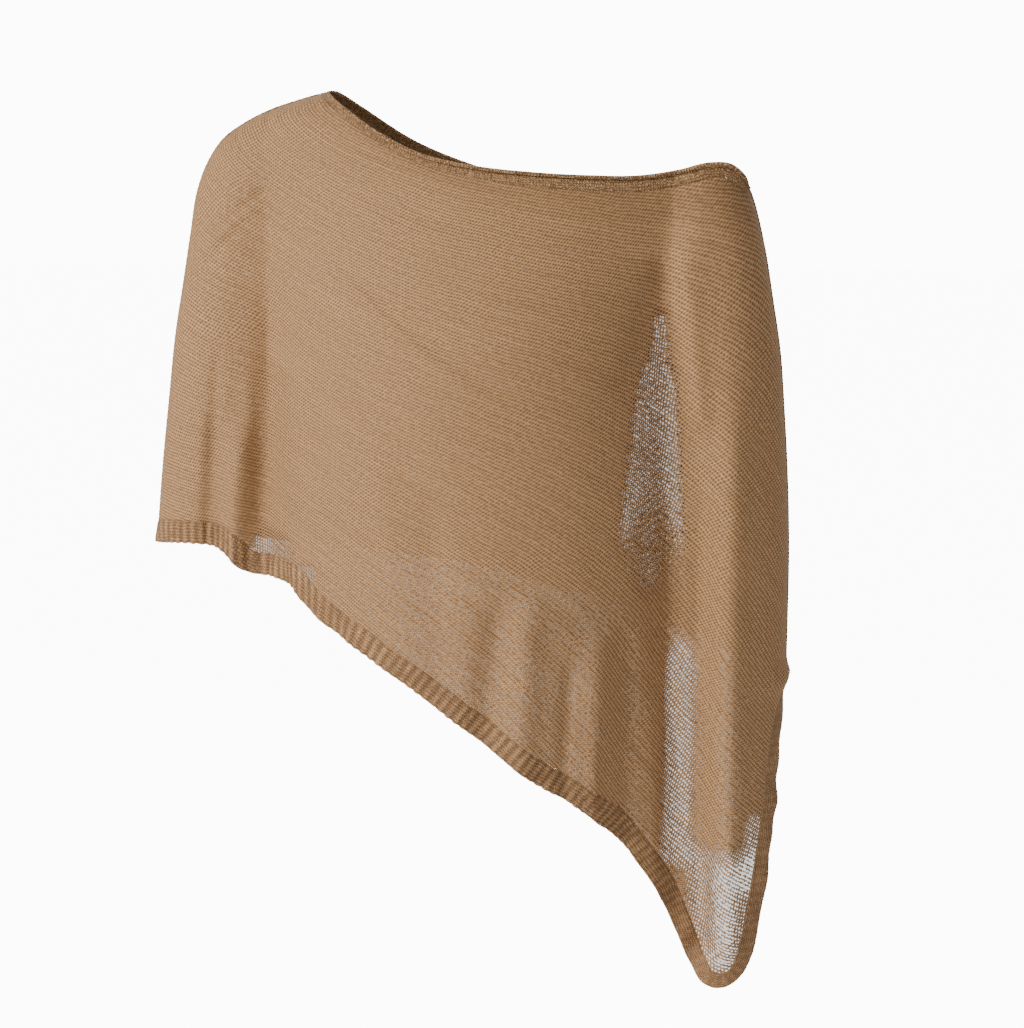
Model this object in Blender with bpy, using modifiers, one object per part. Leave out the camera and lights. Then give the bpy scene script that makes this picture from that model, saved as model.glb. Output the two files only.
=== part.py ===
"""Knit one-shoulder beach cover-up, in the hollow form that it has when worn.

Two shaped knit panels, front and back, meet at a side line over each arm. A ribbed border
finishes the hem and a dense rolled border the neckline. Metres, +Z up, the front faces -Y.
The origin is on the inner face of the cloth, on top of the wearer's right shoulder.

Each panel is laid out as a net of knit rows and columns between its four borders, seen
square on from the front. Its depth then comes from a general figure: a body, oval in
plan, between two arms, with the cloth lying over them and folding where the table says.
"""
import math
from typing import NamedTuple

import bmesh
import bpy
import numpy as np

COLLECTION = "knit_beach_cover_up"

# Cloth
WALL = 0.0016            # panel knit
TRIM_WALL = 0.0017       # plain wall under the ribs and under the rolled neck border
SEAM_GAP = 0.0003        # between two pieces at a seam
RIB_HEIGHT = 0.0013      # a rib above the plain wall
RIB_PITCH = 0.0073       # rib to rib along the hem
RIB_SCALLOP = 0.0007     # how far a rib reaches past the hem line
ROLL_HEIGHT = 0.0012     # the rolled neck border above the plain wall
COLUMNS_PER_RIB = 2
BAND_EASE = 0.02         # along a border, how soon its band takes its own width
SIDE_EASE = 0.035        # depth within which the cloth near a side line is the arm's alone
LINE_STEPS = 240         # places in a smooth line
FREE_EDGE_STEPS = 60

# Net of one panel
END_ANGLES = (0, 3, 14, 28, 44, 64, 90)   # degrees round an arm, where columns stand
MIDDLE_COLUMNS = 21                       # between the arms
SEAM_ROWS = 18                            # down the front's side seam
FREE_ROW_RIBS = (4, 4, 4, 6, 6, 6, 6, 6, 6, 6, 6, 4, 3)   # rib columns a row, from the point up
FREE_ROWS_TO_OPEN = 3                     # rows below the seam in which the columns spread
BACK_ROWS = 26

SHARP_ANGLE = math.radians(40)
FINISHES = (
    ("knit", (0.43, 0.26, 0.155), 0.85),
    ("rib_knit", (0.31, 0.18, 0.105), 0.88),
    ("roll_knit", (0.25, 0.15, 0.085), 0.88),
)

# General figure under the cloth
BODY_CENTRE = 0.143
BODY_HALF_WIDTH = 0.153
SLACK = 0.040            # how softly the cloth passes from body to arm
ARM_BLEND = (0.35, 0.65)  # where one arm's depth gives way to the other's, across the row


class Side(NamedTuple):
    """One height of a side line: place, depth of the line, arm radius, turn in degrees."""

    x: float
    z: float
    forward: float
    radius: float
    turn: float


class Edge(NamedTuple):
    """One place on a neck or hem border, with the border's width seen square on."""

    x: float
    z: float
    band: float


class Level(NamedTuple):
    """How far the cloth stands from the side plane at one height, front and back."""

    z: float
    front: float
    back: float


class Stop(NamedTuple):
    """A place across a trim, as a share of its width, and its share of the height there."""

    share: float
    height: float


class Fold(NamedTuple):
    """A soft fold from its top to its foot; a height below zero is a trough."""

    name: str
    top_x: float
    top_z: float
    foot_x: float
    foot_z: float
    width: float
    height: float


# Over the wearer's right shoulder and down the arm
RIGHT_ARM_SIDE = (
    Side(0.0345, 0.0115, 0.000, 0.050, 0),
    Side(0.0100, 0.0045, 0.000, 0.048, 0),
    Side(-0.0100, -0.0022, 0.000, 0.047, 0),
    Side(-0.0310, -0.0125, 0.000, 0.046, 0),
    Side(-0.0470, -0.0240, 0.000, 0.046, 0),
    Side(-0.0585, -0.0400, 0.000, 0.046, 0),
    Side(-0.0675, -0.0620, 0.000, 0.046, 0),
    Side(-0.0735, -0.0950, 0.001, 0.046, 0),
    Side(-0.0800, -0.1340, 0.002, 0.046, 0),
    Side(-0.0865, -0.1720, 0.003, 0.047, 0),
    Side(-0.0925, -0.2220, 0.004, 0.048, 0),
    Side(-0.0985, -0.2740, 0.005, 0.048, 0),
    Side(-0.1040, -0.3335, 0.006, 0.048, 0),
)
# Down the wearer's left arm; the seam ends at SEAM_FOOT and the front goes on, free
LEFT_ARM_SIDE = (
    Side(0.3530, -0.0600, 0.000, 0.046, 0),
    Side(0.3580, -0.0770, 0.000, 0.048, 0),
    Side(0.3650, -0.1070, 0.001, 0.051, 0),
    Side(0.3715, -0.1450, 0.002, 0.052, 0),
    Side(0.3775, -0.1830, 0.003, 0.052, 0),
    Side(0.3815, -0.2300, 0.004, 0.052, 0),
    Side(0.3848, -0.2800, 0.004, 0.052, 0),
    Side(0.3868, -0.3350, 0.004, 0.052, 0),
    Side(0.3868, -0.3850, 0.004, 0.052, 0),
    Side(0.3858, -0.4360, 0.004, 0.052, 0),
    Side(0.3832, -0.4700, 0.004, 0.052, 14),
    Side(0.3816, -0.5000, 0.004, 0.052, 24),
    Side(0.3800, -0.5300, 0.004, 0.052, 32),
    Side(0.3770, -0.5600, 0.004, 0.052, 37),
    Side(0.3732, -0.5910, 0.005, 0.052, 40),
    Side(0.3690, -0.6210, 0.006, 0.052, 42),
    Side(0.3630, -0.6550, 0.006, 0.052, 42),
    Side(0.3540, -0.7150, 0.008, 0.052, 42),
)
SEAM_FOOT = -0.436

NECK_FRONT = (
    Edge(0.0345, 0.0115, 0.005),
    Edge(0.0520, -0.0010, 0.005),
    Edge(0.0790, -0.0190, 0.005),
    Edge(0.1090, -0.0335, 0.006),
    Edge(0.1460, -0.0420, 0.007),
    Edge(0.1900, -0.0470, 0.009),
    Edge(0.2340, -0.0495, 0.010),
    Edge(0.2680, -0.0498, 0.011),
    Edge(0.3000, -0.0455, 0.011),
    Edge(0.3220, -0.0402, 0.011),
    Edge(0.3370, -0.0412, 0.010),
    Edge(0.3465, -0.0485, 0.010),
    Edge(0.3530, -0.0600, 0.010),
)
NECK_BACK = (
    Edge(0.0345, 0.0115, 0.005),
    Edge(0.0540, -0.0030, 0.005),
    Edge(0.0900, -0.0275, 0.006),
    Edge(0.1460, -0.0510, 0.007),
    Edge(0.2050, -0.0670, 0.009),
    Edge(0.2620, -0.0790, 0.010),
    Edge(0.3060, -0.0850, 0.010),
    Edge(0.3360, -0.0800, 0.010),
    Edge(0.3480, -0.0710, 0.010),
    Edge(0.3530, -0.0600, 0.010),
)
# From the wearer's right to the point, round it and up to where the free edge begins
HEM_FRONT = (
    Edge(-0.1040, -0.3335, 0.017),
    Edge(-0.0840, -0.3295, 0.017),
    Edge(-0.0630, -0.3290, 0.017),
    Edge(-0.0500, -0.3315, 0.017),
    Edge(-0.0420, -0.3365, 0.017),
    Edge(-0.0360, -0.3440, 0.017),
    Edge(-0.0240, -0.3515, 0.017),
    Edge(-0.0050, -0.3535, 0.017),
    Edge(0.0060, -0.3565, 0.017),
    Edge(0.0160, -0.3660, 0.017),
    Edge(0.0330, -0.3795, 0.017),
    Edge(0.0570, -0.3940, 0.017),
    Edge(0.0980, -0.4200, 0.017),
    Edge(0.1260, -0.4405, 0.017),
    Edge(0.1700, -0.4760, 0.017),
    Edge(0.2000, -0.5000, 0.017),
    Edge(0.2200, -0.5140, 0.017),
    Edge(0.2450, -0.5350, 0.017),
    Edge(0.2670, -0.5620, 0.016),
    Edge(0.2850, -0.5900, 0.015),
    Edge(0.3030, -0.6310, 0.014),
    Edge(0.3140, -0.6570, 0.013),
    Edge(0.3235, -0.6715, 0.013),
    Edge(0.3360, -0.6757, 0.013),
    Edge(0.3475, -0.6735, 0.012),
    Edge(0.3560, -0.6660, 0.012),
    Edge(0.3610, -0.6540, 0.012),
    Edge(0.3660, -0.6340, 0.012),
    Edge(0.3732, -0.5910, 0.012),
)
HEM_BACK = (
    Edge(-0.1040, -0.3335, 0.017),
    Edge(-0.0700, -0.3375, 0.017),
    Edge(-0.0300, -0.3395, 0.017),
    Edge(0.0230, -0.3475, 0.017),
    Edge(0.1430, -0.3730, 0.017),
    Edge(0.2500, -0.3960, 0.017),
    Edge(0.3000, -0.4080, 0.017),
    Edge(0.3400, -0.4260, 0.017),
    Edge(0.3690, -0.4340, 0.017),
    Edge(0.3858, -0.4360, 0.017),
)
# The rib of the free edge, from the seam's foot down to where the border rounds the point
FREE_EDGE_BANDS = (
    Edge(0.3858, -0.4360, 0.000),
    Edge(0.3850, -0.4500, 0.003),
    Edge(0.3832, -0.4700, 0.007),
    Edge(0.3816, -0.5000, 0.010),
    Edge(0.3732, -0.5910, 0.012),
)
FREE_EDGE_BUTT = 0.010        # the rib stops this short of the seam's foot

# Across a trim, from its seam to its free edge
RIB_SECTION = (
    Stop(0.00, 0.3),
    Stop(0.20, 1.0),
    Stop(0.85, 1.0),
    Stop(1.00, 0.4),
)
ROLL_SECTION = (
    Stop(0.00, 0.1),
    Stop(0.45, 0.5),
    Stop(0.75, 1.0),
    Stop(1.00, 0.3),
)

BODY_LEVELS = (
    Level(0.020, 0.030, 0.030),
    Level(-0.010, 0.052, 0.058),
    Level(-0.045, 0.072, 0.080),
    Level(-0.100, 0.100, 0.098),
    Level(-0.170, 0.121, 0.102),
    Level(-0.250, 0.120, 0.099),
    Level(-0.350, 0.116, 0.096),
    Level(-0.450, 0.116, 0.096),
    Level(-0.560, 0.110, 0.092),
    Level(-0.720, 0.098, 0.088),
)

FRONT_FOLDS = (
    Fold("left_arm_trough", 0.284, -0.120, 0.311, -0.690, 0.017, -0.010),
    Fold("left_arm_crown", 0.335, -0.130, 0.345, -0.640, 0.022, 0.006),
    Fold("right_arm_trough", 0.004, -0.120, -0.022, -0.350, 0.016, -0.006),
    Fold("sleeve_ridge", -0.030, -0.230, -0.037, -0.360, 0.009, 0.007),
    Fold("sleeve_hollow", -0.048, -0.220, -0.052, -0.350, 0.008, -0.004),
    Fold("hem_trough_middle", 0.172, -0.350, 0.158, -0.470, 0.013, -0.005),
    Fold("hem_ridge_middle", 0.192, -0.350, 0.186, -0.500, 0.012, 0.004),
    Fold("hem_ridge_side", 0.243, -0.380, 0.243, -0.540, 0.011, 0.005),
    Fold("hem_trough_side", 0.262, -0.380, 0.262, -0.560, 0.010, -0.005),
    Fold("hem_ridge_outer", 0.286, -0.430, 0.290, -0.600, 0.009, 0.004),
)
BACK_FOLDS = (
    Fold("left_arm_trough", 0.290, -0.110, 0.302, -0.450, 0.018, -0.009),
    Fold("right_arm_trough", 0.002, -0.110, -0.018, -0.370, 0.018, -0.008),
    Fold("shoulder_hollow", 0.110, -0.130, 0.062, -0.400, 0.024, -0.005),
    Fold("middle_ridge", 0.150, -0.200, 0.128, -0.410, 0.018, 0.005),
    Fold("hem_hollow", 0.212, -0.240, 0.206, -0.430, 0.016, -0.005),
    Fold("hem_ridge", 0.248, -0.260, 0.250, -0.440, 0.014, 0.005),
)
FOLD_ENDS = 0.25          # share of a fold's length over which it fades at its top


def hermite(stops, knots, where):
    """Read a smooth curve through knots, which stand at stops along it."""
    slopes = np.gradient(knots, stops, axis=0)
    span = np.clip(np.searchsorted(stops, where, side="right") - 1, 0, len(stops) - 2)
    length = (stops[span + 1] - stops[span])[:, None]
    share = (where - stops[span])[:, None] / length
    start_pull = (1 + 2 * share) * (1 - share) ** 2
    end_pull = share ** 2 * (3 - 2 * share)
    start_slope = share * (1 - share) ** 2 * length
    end_slope = share ** 2 * (share - 1) * length
    return (start_pull * knots[span] + end_pull * knots[span + 1]
            + start_slope * slopes[span] + end_slope * slopes[span + 1])


def lengths(points):
    """Length run along a line of points, up to each of them."""
    steps = np.linalg.norm(np.diff(points, axis=0), axis=1)
    return np.concatenate(([0.0], np.cumsum(steps)))


def along(points, shares):
    """Points of a line at shares of its length, with any further columns they carry."""
    run = lengths(points[:, :2])
    where = np.asarray(shares) * run[-1]
    return np.column_stack([np.interp(where, run, column) for column in points.T])


def smooth_line(rows):
    """A dense smooth line through a table's rows, read by the length run in x and z."""
    knots = np.array(rows, dtype=float)
    stops = lengths(knots[:, :2])
    return hermite(stops, knots, np.linspace(0.0, stops[-1], LINE_STEPS))


def level(z, name):
    """The figure's depth at heights z, front or back."""
    rows = BODY_LEVELS[::-1]
    stops = np.array([row.z for row in rows])
    knots = np.array([[getattr(row, name)] for row in rows])
    return hermite(stops, knots, np.clip(z, stops[0], stops[-1]))[:, 0]


def ramp(value, low, high):
    """0 below low, 1 above high, and a smooth rise between them."""
    share = np.clip((value - low) / (high - low), 0.0, 1.0)
    return share * share * (3 - 2 * share)


def soft_top(first, second, slack):
    """The larger of two depths, with the cloth bridging softly where they cross."""
    overlap = np.maximum(slack - np.abs(first - second), 0.0) / slack
    return np.maximum(first, second) + overlap * overlap * slack / 4


def nearest(places, line):
    """Distance from each place to a line in x and z, and the line's columns there."""
    start = line[:-1, :2]
    run = line[1:, :2] - start
    offset = places[:, None, :] - start[None]
    share = np.clip((offset * run).sum(2) / (run * run).sum(1), 0.0, 1.0)
    distance = np.linalg.norm(offset - share[..., None] * run[None], axis=2)
    best = distance.argmin(1)
    picked = share[np.arange(len(places)), best][:, None]
    columns = line[best] * (1 - picked) + line[best + 1] * picked
    return distance.min(1), columns


RIGHT_LINE = smooth_line(RIGHT_ARM_SIDE)
LEFT_LINE = smooth_line(LEFT_ARM_SIDE)


def arm_depth(places, line, front):
    """Depth of the cloth round one arm: a quarter turn in from its side line."""
    distance, columns = nearest(places, line)
    radius = columns[:, 3]
    turn = np.radians(columns[:, 4]) * front
    cosine = np.clip(np.cos(turn) - distance / radius, 0.0, 1.0)
    return radius * np.sqrt(1 - cosine * cosine), columns[:, 2]


def fold_depth(places, folds):
    """Sum of the folds at each place."""
    total = np.zeros(len(places))
    for fold in folds:
        top = np.array((fold.top_x, fold.top_z))
        run = np.array((fold.foot_x, fold.foot_z)) - top
        offset = places - top
        share = (offset @ run) / (run @ run)
        across = offset - np.clip(share, 0.0, 1.0)[:, None] * run
        shape = np.exp(-(across * across).sum(1) / (fold.width * fold.width))
        total += fold.height * shape * ramp(share, -0.05, FOLD_ENDS)
    return total


def cloth_points(places, front):
    """Points in space of the cloth's outer face, for places seen square on.

    front is 1 for the front and 0 for the back.
    """
    right, right_forward = arm_depth(places, RIGHT_LINE, front)
    left, left_forward = arm_depth(places, LEFT_LINE, front)
    x, z = places.T
    span = LEFT_LINE[:, 0].max() - RIGHT_LINE[:, 0].min()
    mix = ramp((x - RIGHT_LINE[:, 0].min()) / span, *ARM_BLEND)
    arms = right * (1 - mix) + left * mix
    forward = right_forward * (1 - mix) + left_forward * mix
    across = np.clip((x - BODY_CENTRE) / BODY_HALF_WIDTH, -1.0, 1.0)
    body = level(z, "front" if front else "back") * np.sqrt(1 - across * across)
    inside = ramp(arms, 0.0, SIDE_EASE)
    depth = arms + (soft_top(arms, body, SLACK) - arms) * inside
    depth = depth + fold_depth(places, FRONT_FOLDS if front else BACK_FOLDS) * inside
    side = 1 if front else -1
    y = -(forward + side * np.maximum(depth, SEAM_GAP / 2))
    return np.column_stack((x, y, z))


def column_shares(opening):
    """Shares of a row's length where the net's columns stand, crowded round each arm.

    opening runs from 0, where the row ends at a seam, to 1, where it ends at the free
    edge, round which the columns need no crowding.
    """
    radius = RIGHT_ARM_SIDE[-1].radius
    width = LEFT_ARM_SIDE[-1].x - RIGHT_ARM_SIDE[-1].x
    ends = radius * (1 - np.cos(np.radians(END_ANGLES))) / width
    middle = np.linspace(ends[-1], 1 - ends[-1], MIDDLE_COLUMNS + 1)[1:-1]
    closed = np.concatenate((ends, middle, 1 - ends[::-1]))
    spread = np.linspace(ends[-1], 1, len(closed) - len(ends) + 1)[1:]
    opened = np.concatenate((ends, spread))
    return closed + (opened - closed) * opening


def net(neck, hem, hem_shares, right, left, openings):
    """Places between four borders: the rows change evenly from the neck's line to the hem's."""
    down = lengths(left) / lengths(left)[-1]
    rows = []
    for v, right_end, left_end, opening in zip(down, right, left, openings):
        u = column_shares(opening)[:, None]
        top = along(neck, u[:, 0])
        foot = np.column_stack([np.interp(u[:, 0], hem_shares, column) for column in hem.T])
        corners = ((1 - v) * ((1 - u) * neck[0] + u * neck[-1])
                   + v * ((1 - u) * hem[0] + u * hem[-1]))
        row = (1 - v) * top + v * foot + (1 - u) * right_end + u * left_end - corners
        row[0], row[-1] = right_end, left_end
        rows.append(row)
    rows[-1] = hem
    return np.array(rows)


def square_in(line):
    """Unit steps in from a border, square to it, with the cloth on the left of the line."""
    run = np.gradient(line[:, :2], axis=0)
    run /= np.linalg.norm(run, axis=1)[:, None]
    return np.column_stack((-run[:, 1], run[:, 0]))


def band_line(border, first, last, side=1):
    """The inner line of a border's band; its ends stand at the places given."""
    step = square_in(border) * side * border[:, 2:3]
    run = lengths(border[:, :2])
    for end, place, distance in ((0, first, run), (-1, last, run[-1] - run)):
        near = (1 - ramp(distance, 0.0, BAND_EASE))[:, None]
        step += near * (place - border[end, :2] - step)
    return border[:, :2] + step


def height_share(line, z):
    """Share of a side line's length at height z."""
    run = lengths(line[:, :2])
    return np.interp(-z, -line[:, 1], run) / run[-1]


def side_place(line, share):
    """A place on a side line."""
    return along(line, [share])[0, :2]


def rib_columns(outer, inner, front):
    """Where the columns of a ribbed border stand, as places in its dense lines."""
    middle = (cloth_points(outer, front) + cloth_points(inner, front)) / 2
    run = lengths(middle)
    count = COLUMNS_PER_RIB * round(run[-1] / RIB_PITCH)
    return np.interp(np.linspace(0, run[-1], count + 1), run, np.arange(len(run)))


def read(line, where):
    """Rows of a dense line at fractional places in it."""
    index = np.arange(len(line))
    return np.column_stack([np.interp(where, index, column) for column in line.T])


def picked_columns(inner, columns, shares, last):
    """The rib columns, up to the last, that stand nearest to the net's columns."""
    run = lengths(inner)
    end = np.interp(columns[last], np.arange(len(run)), run)
    wanted = np.interp(shares * end, run, np.arange(len(run)))
    picks = np.abs(columns[None, :last + 1] - wanted[:, None]).argmin(1)
    count = len(picks)
    picks = np.maximum(picks, np.arange(count))
    for index in range(1, count):
        picks[index] = max(picks[index], picks[index - 1] + 1)
    return np.minimum(picks, last - np.arange(count)[::-1])


def free_edge():
    """The free edge of the front, up its side line, with its band's width."""
    start = height_share(LEFT_LINE, HEM_FRONT[-1].z)
    end = height_share(LEFT_LINE, SEAM_FOOT)
    line = along(LEFT_LINE, np.linspace(start, end, FREE_EDGE_STEPS))[:, :2]
    heights = [row.z for row in FREE_EDGE_BANDS[::-1]]
    bands = [row.band for row in FREE_EDGE_BANDS[::-1]]
    return np.column_stack((line, np.interp(line[:, 1], heights, bands)))


def trim_lines(picks, edge, normals, free_line, butt=0):
    """Seam line, free line and the normals at each of them, made from the panel's edge.

    The normals at the seam are the panel's own, so that the two pieces stay apart through
    the wall. butt is the number of columns that the trim stops short of the edge's end.
    """
    columns = np.arange(picks[0], picks[-1] + 1 - butt)
    seam = np.column_stack([np.interp(columns, picks, axis) for axis in edge.T])
    hinge = np.column_stack([np.interp(columns, picks, axis) for axis in normals.T])
    free = free_line[columns]
    across = unit(free - seam)
    lean = unit(hinge - across * (hinge * across).sum(1)[:, None])
    return seam + across * SEAM_GAP, free, hinge, lean


def unit(vectors):
    """Vectors of length one."""
    return vectors / np.linalg.norm(vectors, axis=-1, keepdims=True)


def face_sideways(normals, index):
    """At a side seam a trim's end faces straight out sideways, along the seam."""
    normals[index, 1] = 0.0
    normals[index] = unit(normals[index])


def panel_object(name, points, front, collection):
    """An open sheet of cloth through a net of points, thickened inwards by Solidify."""
    rows, columns = points.shape[:2]
    sheet = bmesh.new()
    knots = [sheet.verts.new(point) for point in points.reshape(-1, 3)]
    for row in range(rows - 1):
        for column in range(columns - 1):
            start = row * columns + column
            ring = [start, start + columns, start + columns + 1, start + 1]
            ring = ring if front else ring[::-1]
            sheet.faces.new([knots[index] for index in ring])
    bmesh.ops.triangulate(sheet, faces=sheet.faces[:])
    sheet.normal_update()
    normals = np.array([knot.normal[:] for knot in knots]).reshape(points.shape)
    mesh = bpy.data.meshes.new(name)
    sheet.to_mesh(mesh)
    sheet.free()
    mesh.shade_smooth()
    piece = bpy.data.objects.new(name, mesh)
    collection.objects.link(piece)
    wall = piece.modifiers.new("wall", "SOLIDIFY")
    wall.thickness = WALL
    wall.offset = -1.0
    return piece, normals


def strip_object(name, lines, profile, collection):
    """A trim between its seam line and its free line, lofted from closed sections.

    profile gives, for each column, the outer face's (share across, height) points. The
    inner face is plain, so the sections of a rib and of the space beside it are unlike.
    """
    mesh = bmesh.new()
    sections = []
    for column, (start, end, hinge, lean) in enumerate(zip(*lines)):
        across = end - start
        rows = profile(column, np.linalg.norm(across))
        rows += ((rows[-1][0], -TRIM_WALL), (0.0, -TRIM_WALL))
        section = []
        for share, height in rows:
            normal = hinge + (lean - hinge) * min(share, 1.0)
            section.append(mesh.verts.new(start + across * share + normal * height))
        sections.append(section)
    count = len(sections[0])
    for here, there in zip(sections, sections[1:]):
        for index in range(count):
            after = (index + 1) % count
            mesh.faces.new((here[index], here[after], there[after], there[index]))
    mesh.faces.new(sections[0])
    mesh.faces.new(sections[-1])
    bmesh.ops.triangulate(mesh, faces=mesh.faces[:])
    bmesh.ops.recalc_face_normals(mesh, faces=mesh.faces[:])
    data = bpy.data.meshes.new(name)
    mesh.to_mesh(data)
    mesh.free()
    data.shade_smooth()
    data.set_sharp_from_angle(angle=SHARP_ANGLE)
    piece = bpy.data.objects.new(name, data)
    collection.objects.link(piece)
    return piece


def rib_profile(column, reach):
    """Outer face of the ribbed border: every other column is the top of a rib."""
    if column % COLUMNS_PER_RIB == 0:
        return tuple((stop.share, 0.0) for stop in RIB_SECTION)
    rise = [(stop.share, stop.height * RIB_HEIGHT) for stop in RIB_SECTION]
    rise[-1] = (1.0 + RIB_SCALLOP / reach, rise[-1][1])
    return tuple(rise)


def roll_profile(_column, _reach):
    """Outer face of the neck border: it swells towards its free edge, which is rounded."""
    return tuple((stop.share, stop.height * ROLL_HEIGHT) for stop in ROLL_SECTION)


def neck_lines(table):
    """The neck's line and the line below its border, where the panel begins."""
    line = smooth_line(table)
    right_end = side_place(RIGHT_LINE, table[0].band / lengths(RIGHT_LINE[:, :2])[-1])
    left_end = side_place(LEFT_LINE, table[-1].band / lengths(LEFT_LINE[:, :2])[-1])
    return line[:, :2], band_line(line, right_end, left_end, side=-1)


def side_rows(line, start, end, shares):
    """Places down a side line, at shares of the stretch between two of its places."""
    first, last = height_share(line, start[1]), height_share(line, end[1])
    return along(line, first + shares * (last - first))[:, :2]


def garment_side(name, front, neck_table, hem, hem_ends, collection):
    """One side of the garment: its panel, its ribbed hem and its neck border.

    hem_ends are the places where the hem's inner line meets the two side lines. The
    front's hem also runs up the free edge, so its net has rows there as well.
    """
    neck, neck_seam = neck_lines(neck_table)
    hem_seam = band_line(hem, *hem_ends)
    columns = rib_columns(hem[:, :2], hem_seam, front)
    free = cloth_points(read(hem[:, :2], columns), front)
    seam = read(hem_seam, columns)
    if front:
        point = int(free[:, 2].argmin())
        upright = point + np.cumsum(FREE_ROW_RIBS)
        foot = side_place(LEFT_LINE, height_share(LEFT_LINE, SEAM_FOOT))
        above = side_rows(LEFT_LINE, neck_seam[-1], foot, np.linspace(0, 1, SEAM_ROWS + 1))
        left = np.vstack((above, seam[upright[::-1]], seam[[point]]))
        opened = np.clip(np.arange(len(left)) - SEAM_ROWS, 0, FREE_ROWS_TO_OPEN)
        openings = opened / FREE_ROWS_TO_OPEN
    else:
        point = len(columns) - 1
        left = side_rows(LEFT_LINE, neck_seam[-1], seam[-1], np.linspace(0, 1, BACK_ROWS + 1))
        openings = np.zeros(len(left))
    shares = column_shares(openings[-1])
    bottom = picked_columns(hem_seam, columns, shares, point)
    right = side_rows(RIGHT_LINE, neck_seam[0], seam[0], lengths(left) / lengths(left)[-1])
    places = net(neck_seam, seam[bottom], shares, right, left, openings)
    points = cloth_points(places.reshape(-1, 2), front).reshape(*places.shape[:2], 3)
    panel, normals = panel_object(f"{name}_panel", points, front, collection)

    picks, edge, lean, butt = bottom, points[-1], normals[-1], 0
    if front:
        picks = np.concatenate((bottom, upright, [len(columns) - 1]))
        edge = np.vstack((edge, points[SEAM_ROWS:-1, -1][::-1]))
        lean = np.vstack((lean, normals[SEAM_ROWS:-1, -1][::-1]))
        butt = math.ceil(FREE_EDGE_BUTT * COLUMNS_PER_RIB / RIB_PITCH)
    lines = trim_lines(picks, edge, lean, free, butt)
    face_sideways(lines[3], 0)
    if not front:
        face_sideways(lines[3], -1)
    rib = strip_object(f"hem_rib_{name}", lines, rib_profile, collection)

    top = cloth_points(along(neck, column_shares(0)), front)
    lines = trim_lines(np.arange(len(top)), points[0], normals[0], top)
    face_sideways(lines[3], 0)
    face_sideways(lines[3], -1)
    roll = strip_object(f"neck_edge_{name}", lines, roll_profile, collection)
    return panel, rib, roll


def yarn(name, color, roughness):
    """A plain knit finish."""
    material = bpy.data.materials.new(name)
    material.use_nodes = True
    shader = material.node_tree.nodes["Principled BSDF"]
    shader.inputs["Base Color"].default_value = (*color, 1.0)
    shader.inputs["Roughness"].default_value = roughness
    shader.inputs["Metallic"].default_value = 0.0
    return material


def main():
    """Clear the scene and model the garment in a collection of its own."""
    for leftover in list(bpy.data.objects):
        bpy.data.objects.remove(leftover, do_unlink=True)
    collection = bpy.data.collections.new(COLLECTION)
    bpy.context.scene.collection.children.link(collection)

    right_run = lengths(RIGHT_LINE[:, :2])[-1]
    right_end = side_place(RIGHT_LINE, 1 - HEM_FRONT[0].band / right_run)
    foot_share = height_share(LEFT_LINE, SEAM_FOOT)
    left_run = lengths(LEFT_LINE[:, :2])[-1]
    back_end = side_place(LEFT_LINE, foot_share - HEM_BACK[-1].band / left_run)
    front_end = side_place(LEFT_LINE, foot_share)
    front_hem = np.vstack((smooth_line(HEM_FRONT), free_edge()[1:]))
    back_hem = smooth_line(HEM_BACK)
    sides = (
        garment_side("front", 1, NECK_FRONT, front_hem, (right_end, front_end), collection),
        garment_side("back", 0, NECK_BACK, back_hem, (right_end, back_end), collection),
    )
    for pieces in sides:
        for piece, (finish, color, roughness) in zip(pieces, FINISHES):
            piece.data.materials.append(yarn(f"{piece.name}_{finish}", color, roughness))


main()
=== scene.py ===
"""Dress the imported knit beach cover-up: fine cloth, ribbed hem, rolled neckline and seams.

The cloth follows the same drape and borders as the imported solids, on a finer net, and
carries smaller folds, stitches and the ribs' own relief. Metres, +Z up, the front faces -Y.
"""

import logging
import math
from collections.abc import Iterable
from dataclasses import dataclass, field
from enum import Enum
from typing import NamedTuple

import bmesh
import bpy
import numpy as np
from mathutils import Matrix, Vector


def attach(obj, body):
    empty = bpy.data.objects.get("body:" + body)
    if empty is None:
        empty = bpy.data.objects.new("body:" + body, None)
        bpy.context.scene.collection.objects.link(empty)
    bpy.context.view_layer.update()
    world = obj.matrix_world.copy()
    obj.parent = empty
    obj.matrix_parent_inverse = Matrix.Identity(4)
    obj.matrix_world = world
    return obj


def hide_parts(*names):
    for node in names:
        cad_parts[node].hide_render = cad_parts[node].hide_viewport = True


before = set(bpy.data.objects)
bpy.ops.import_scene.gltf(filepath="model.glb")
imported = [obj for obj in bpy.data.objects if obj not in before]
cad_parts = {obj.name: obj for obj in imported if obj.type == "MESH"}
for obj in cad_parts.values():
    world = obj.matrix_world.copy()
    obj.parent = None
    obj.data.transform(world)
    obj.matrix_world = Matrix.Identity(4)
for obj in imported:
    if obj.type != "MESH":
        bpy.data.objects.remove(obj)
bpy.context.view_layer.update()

LOG = logging.getLogger("cover_up")
BODY = "root"
LINE_STEPS = 480          # places in a smooth line
CHUNK = 6000              # places worked out at a time


class Face(Enum):
    """Which side of the garment a piece is on."""

    FRONT = "front"
    BACK = "back"

    @property
    def toward(self) -> int:
        """Return 1 for the front, which faces -Y, and -1 for the back."""
        return 1 if self is Face.FRONT else -1


class Side(NamedTuple):
    """One height of a side line: place, depth of the line, arm radius, turn in degrees."""

    x: float
    z: float
    forward: float
    radius: float
    turn: float = 0.0


class Edge(NamedTuple):
    """One place on a neck or hem border, with the border's width seen square on."""

    x: float
    z: float
    band: float


class Level(NamedTuple):
    """How far the cloth stands from the side plane at one height, front and back."""

    z: float
    front: float
    back: float


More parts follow.
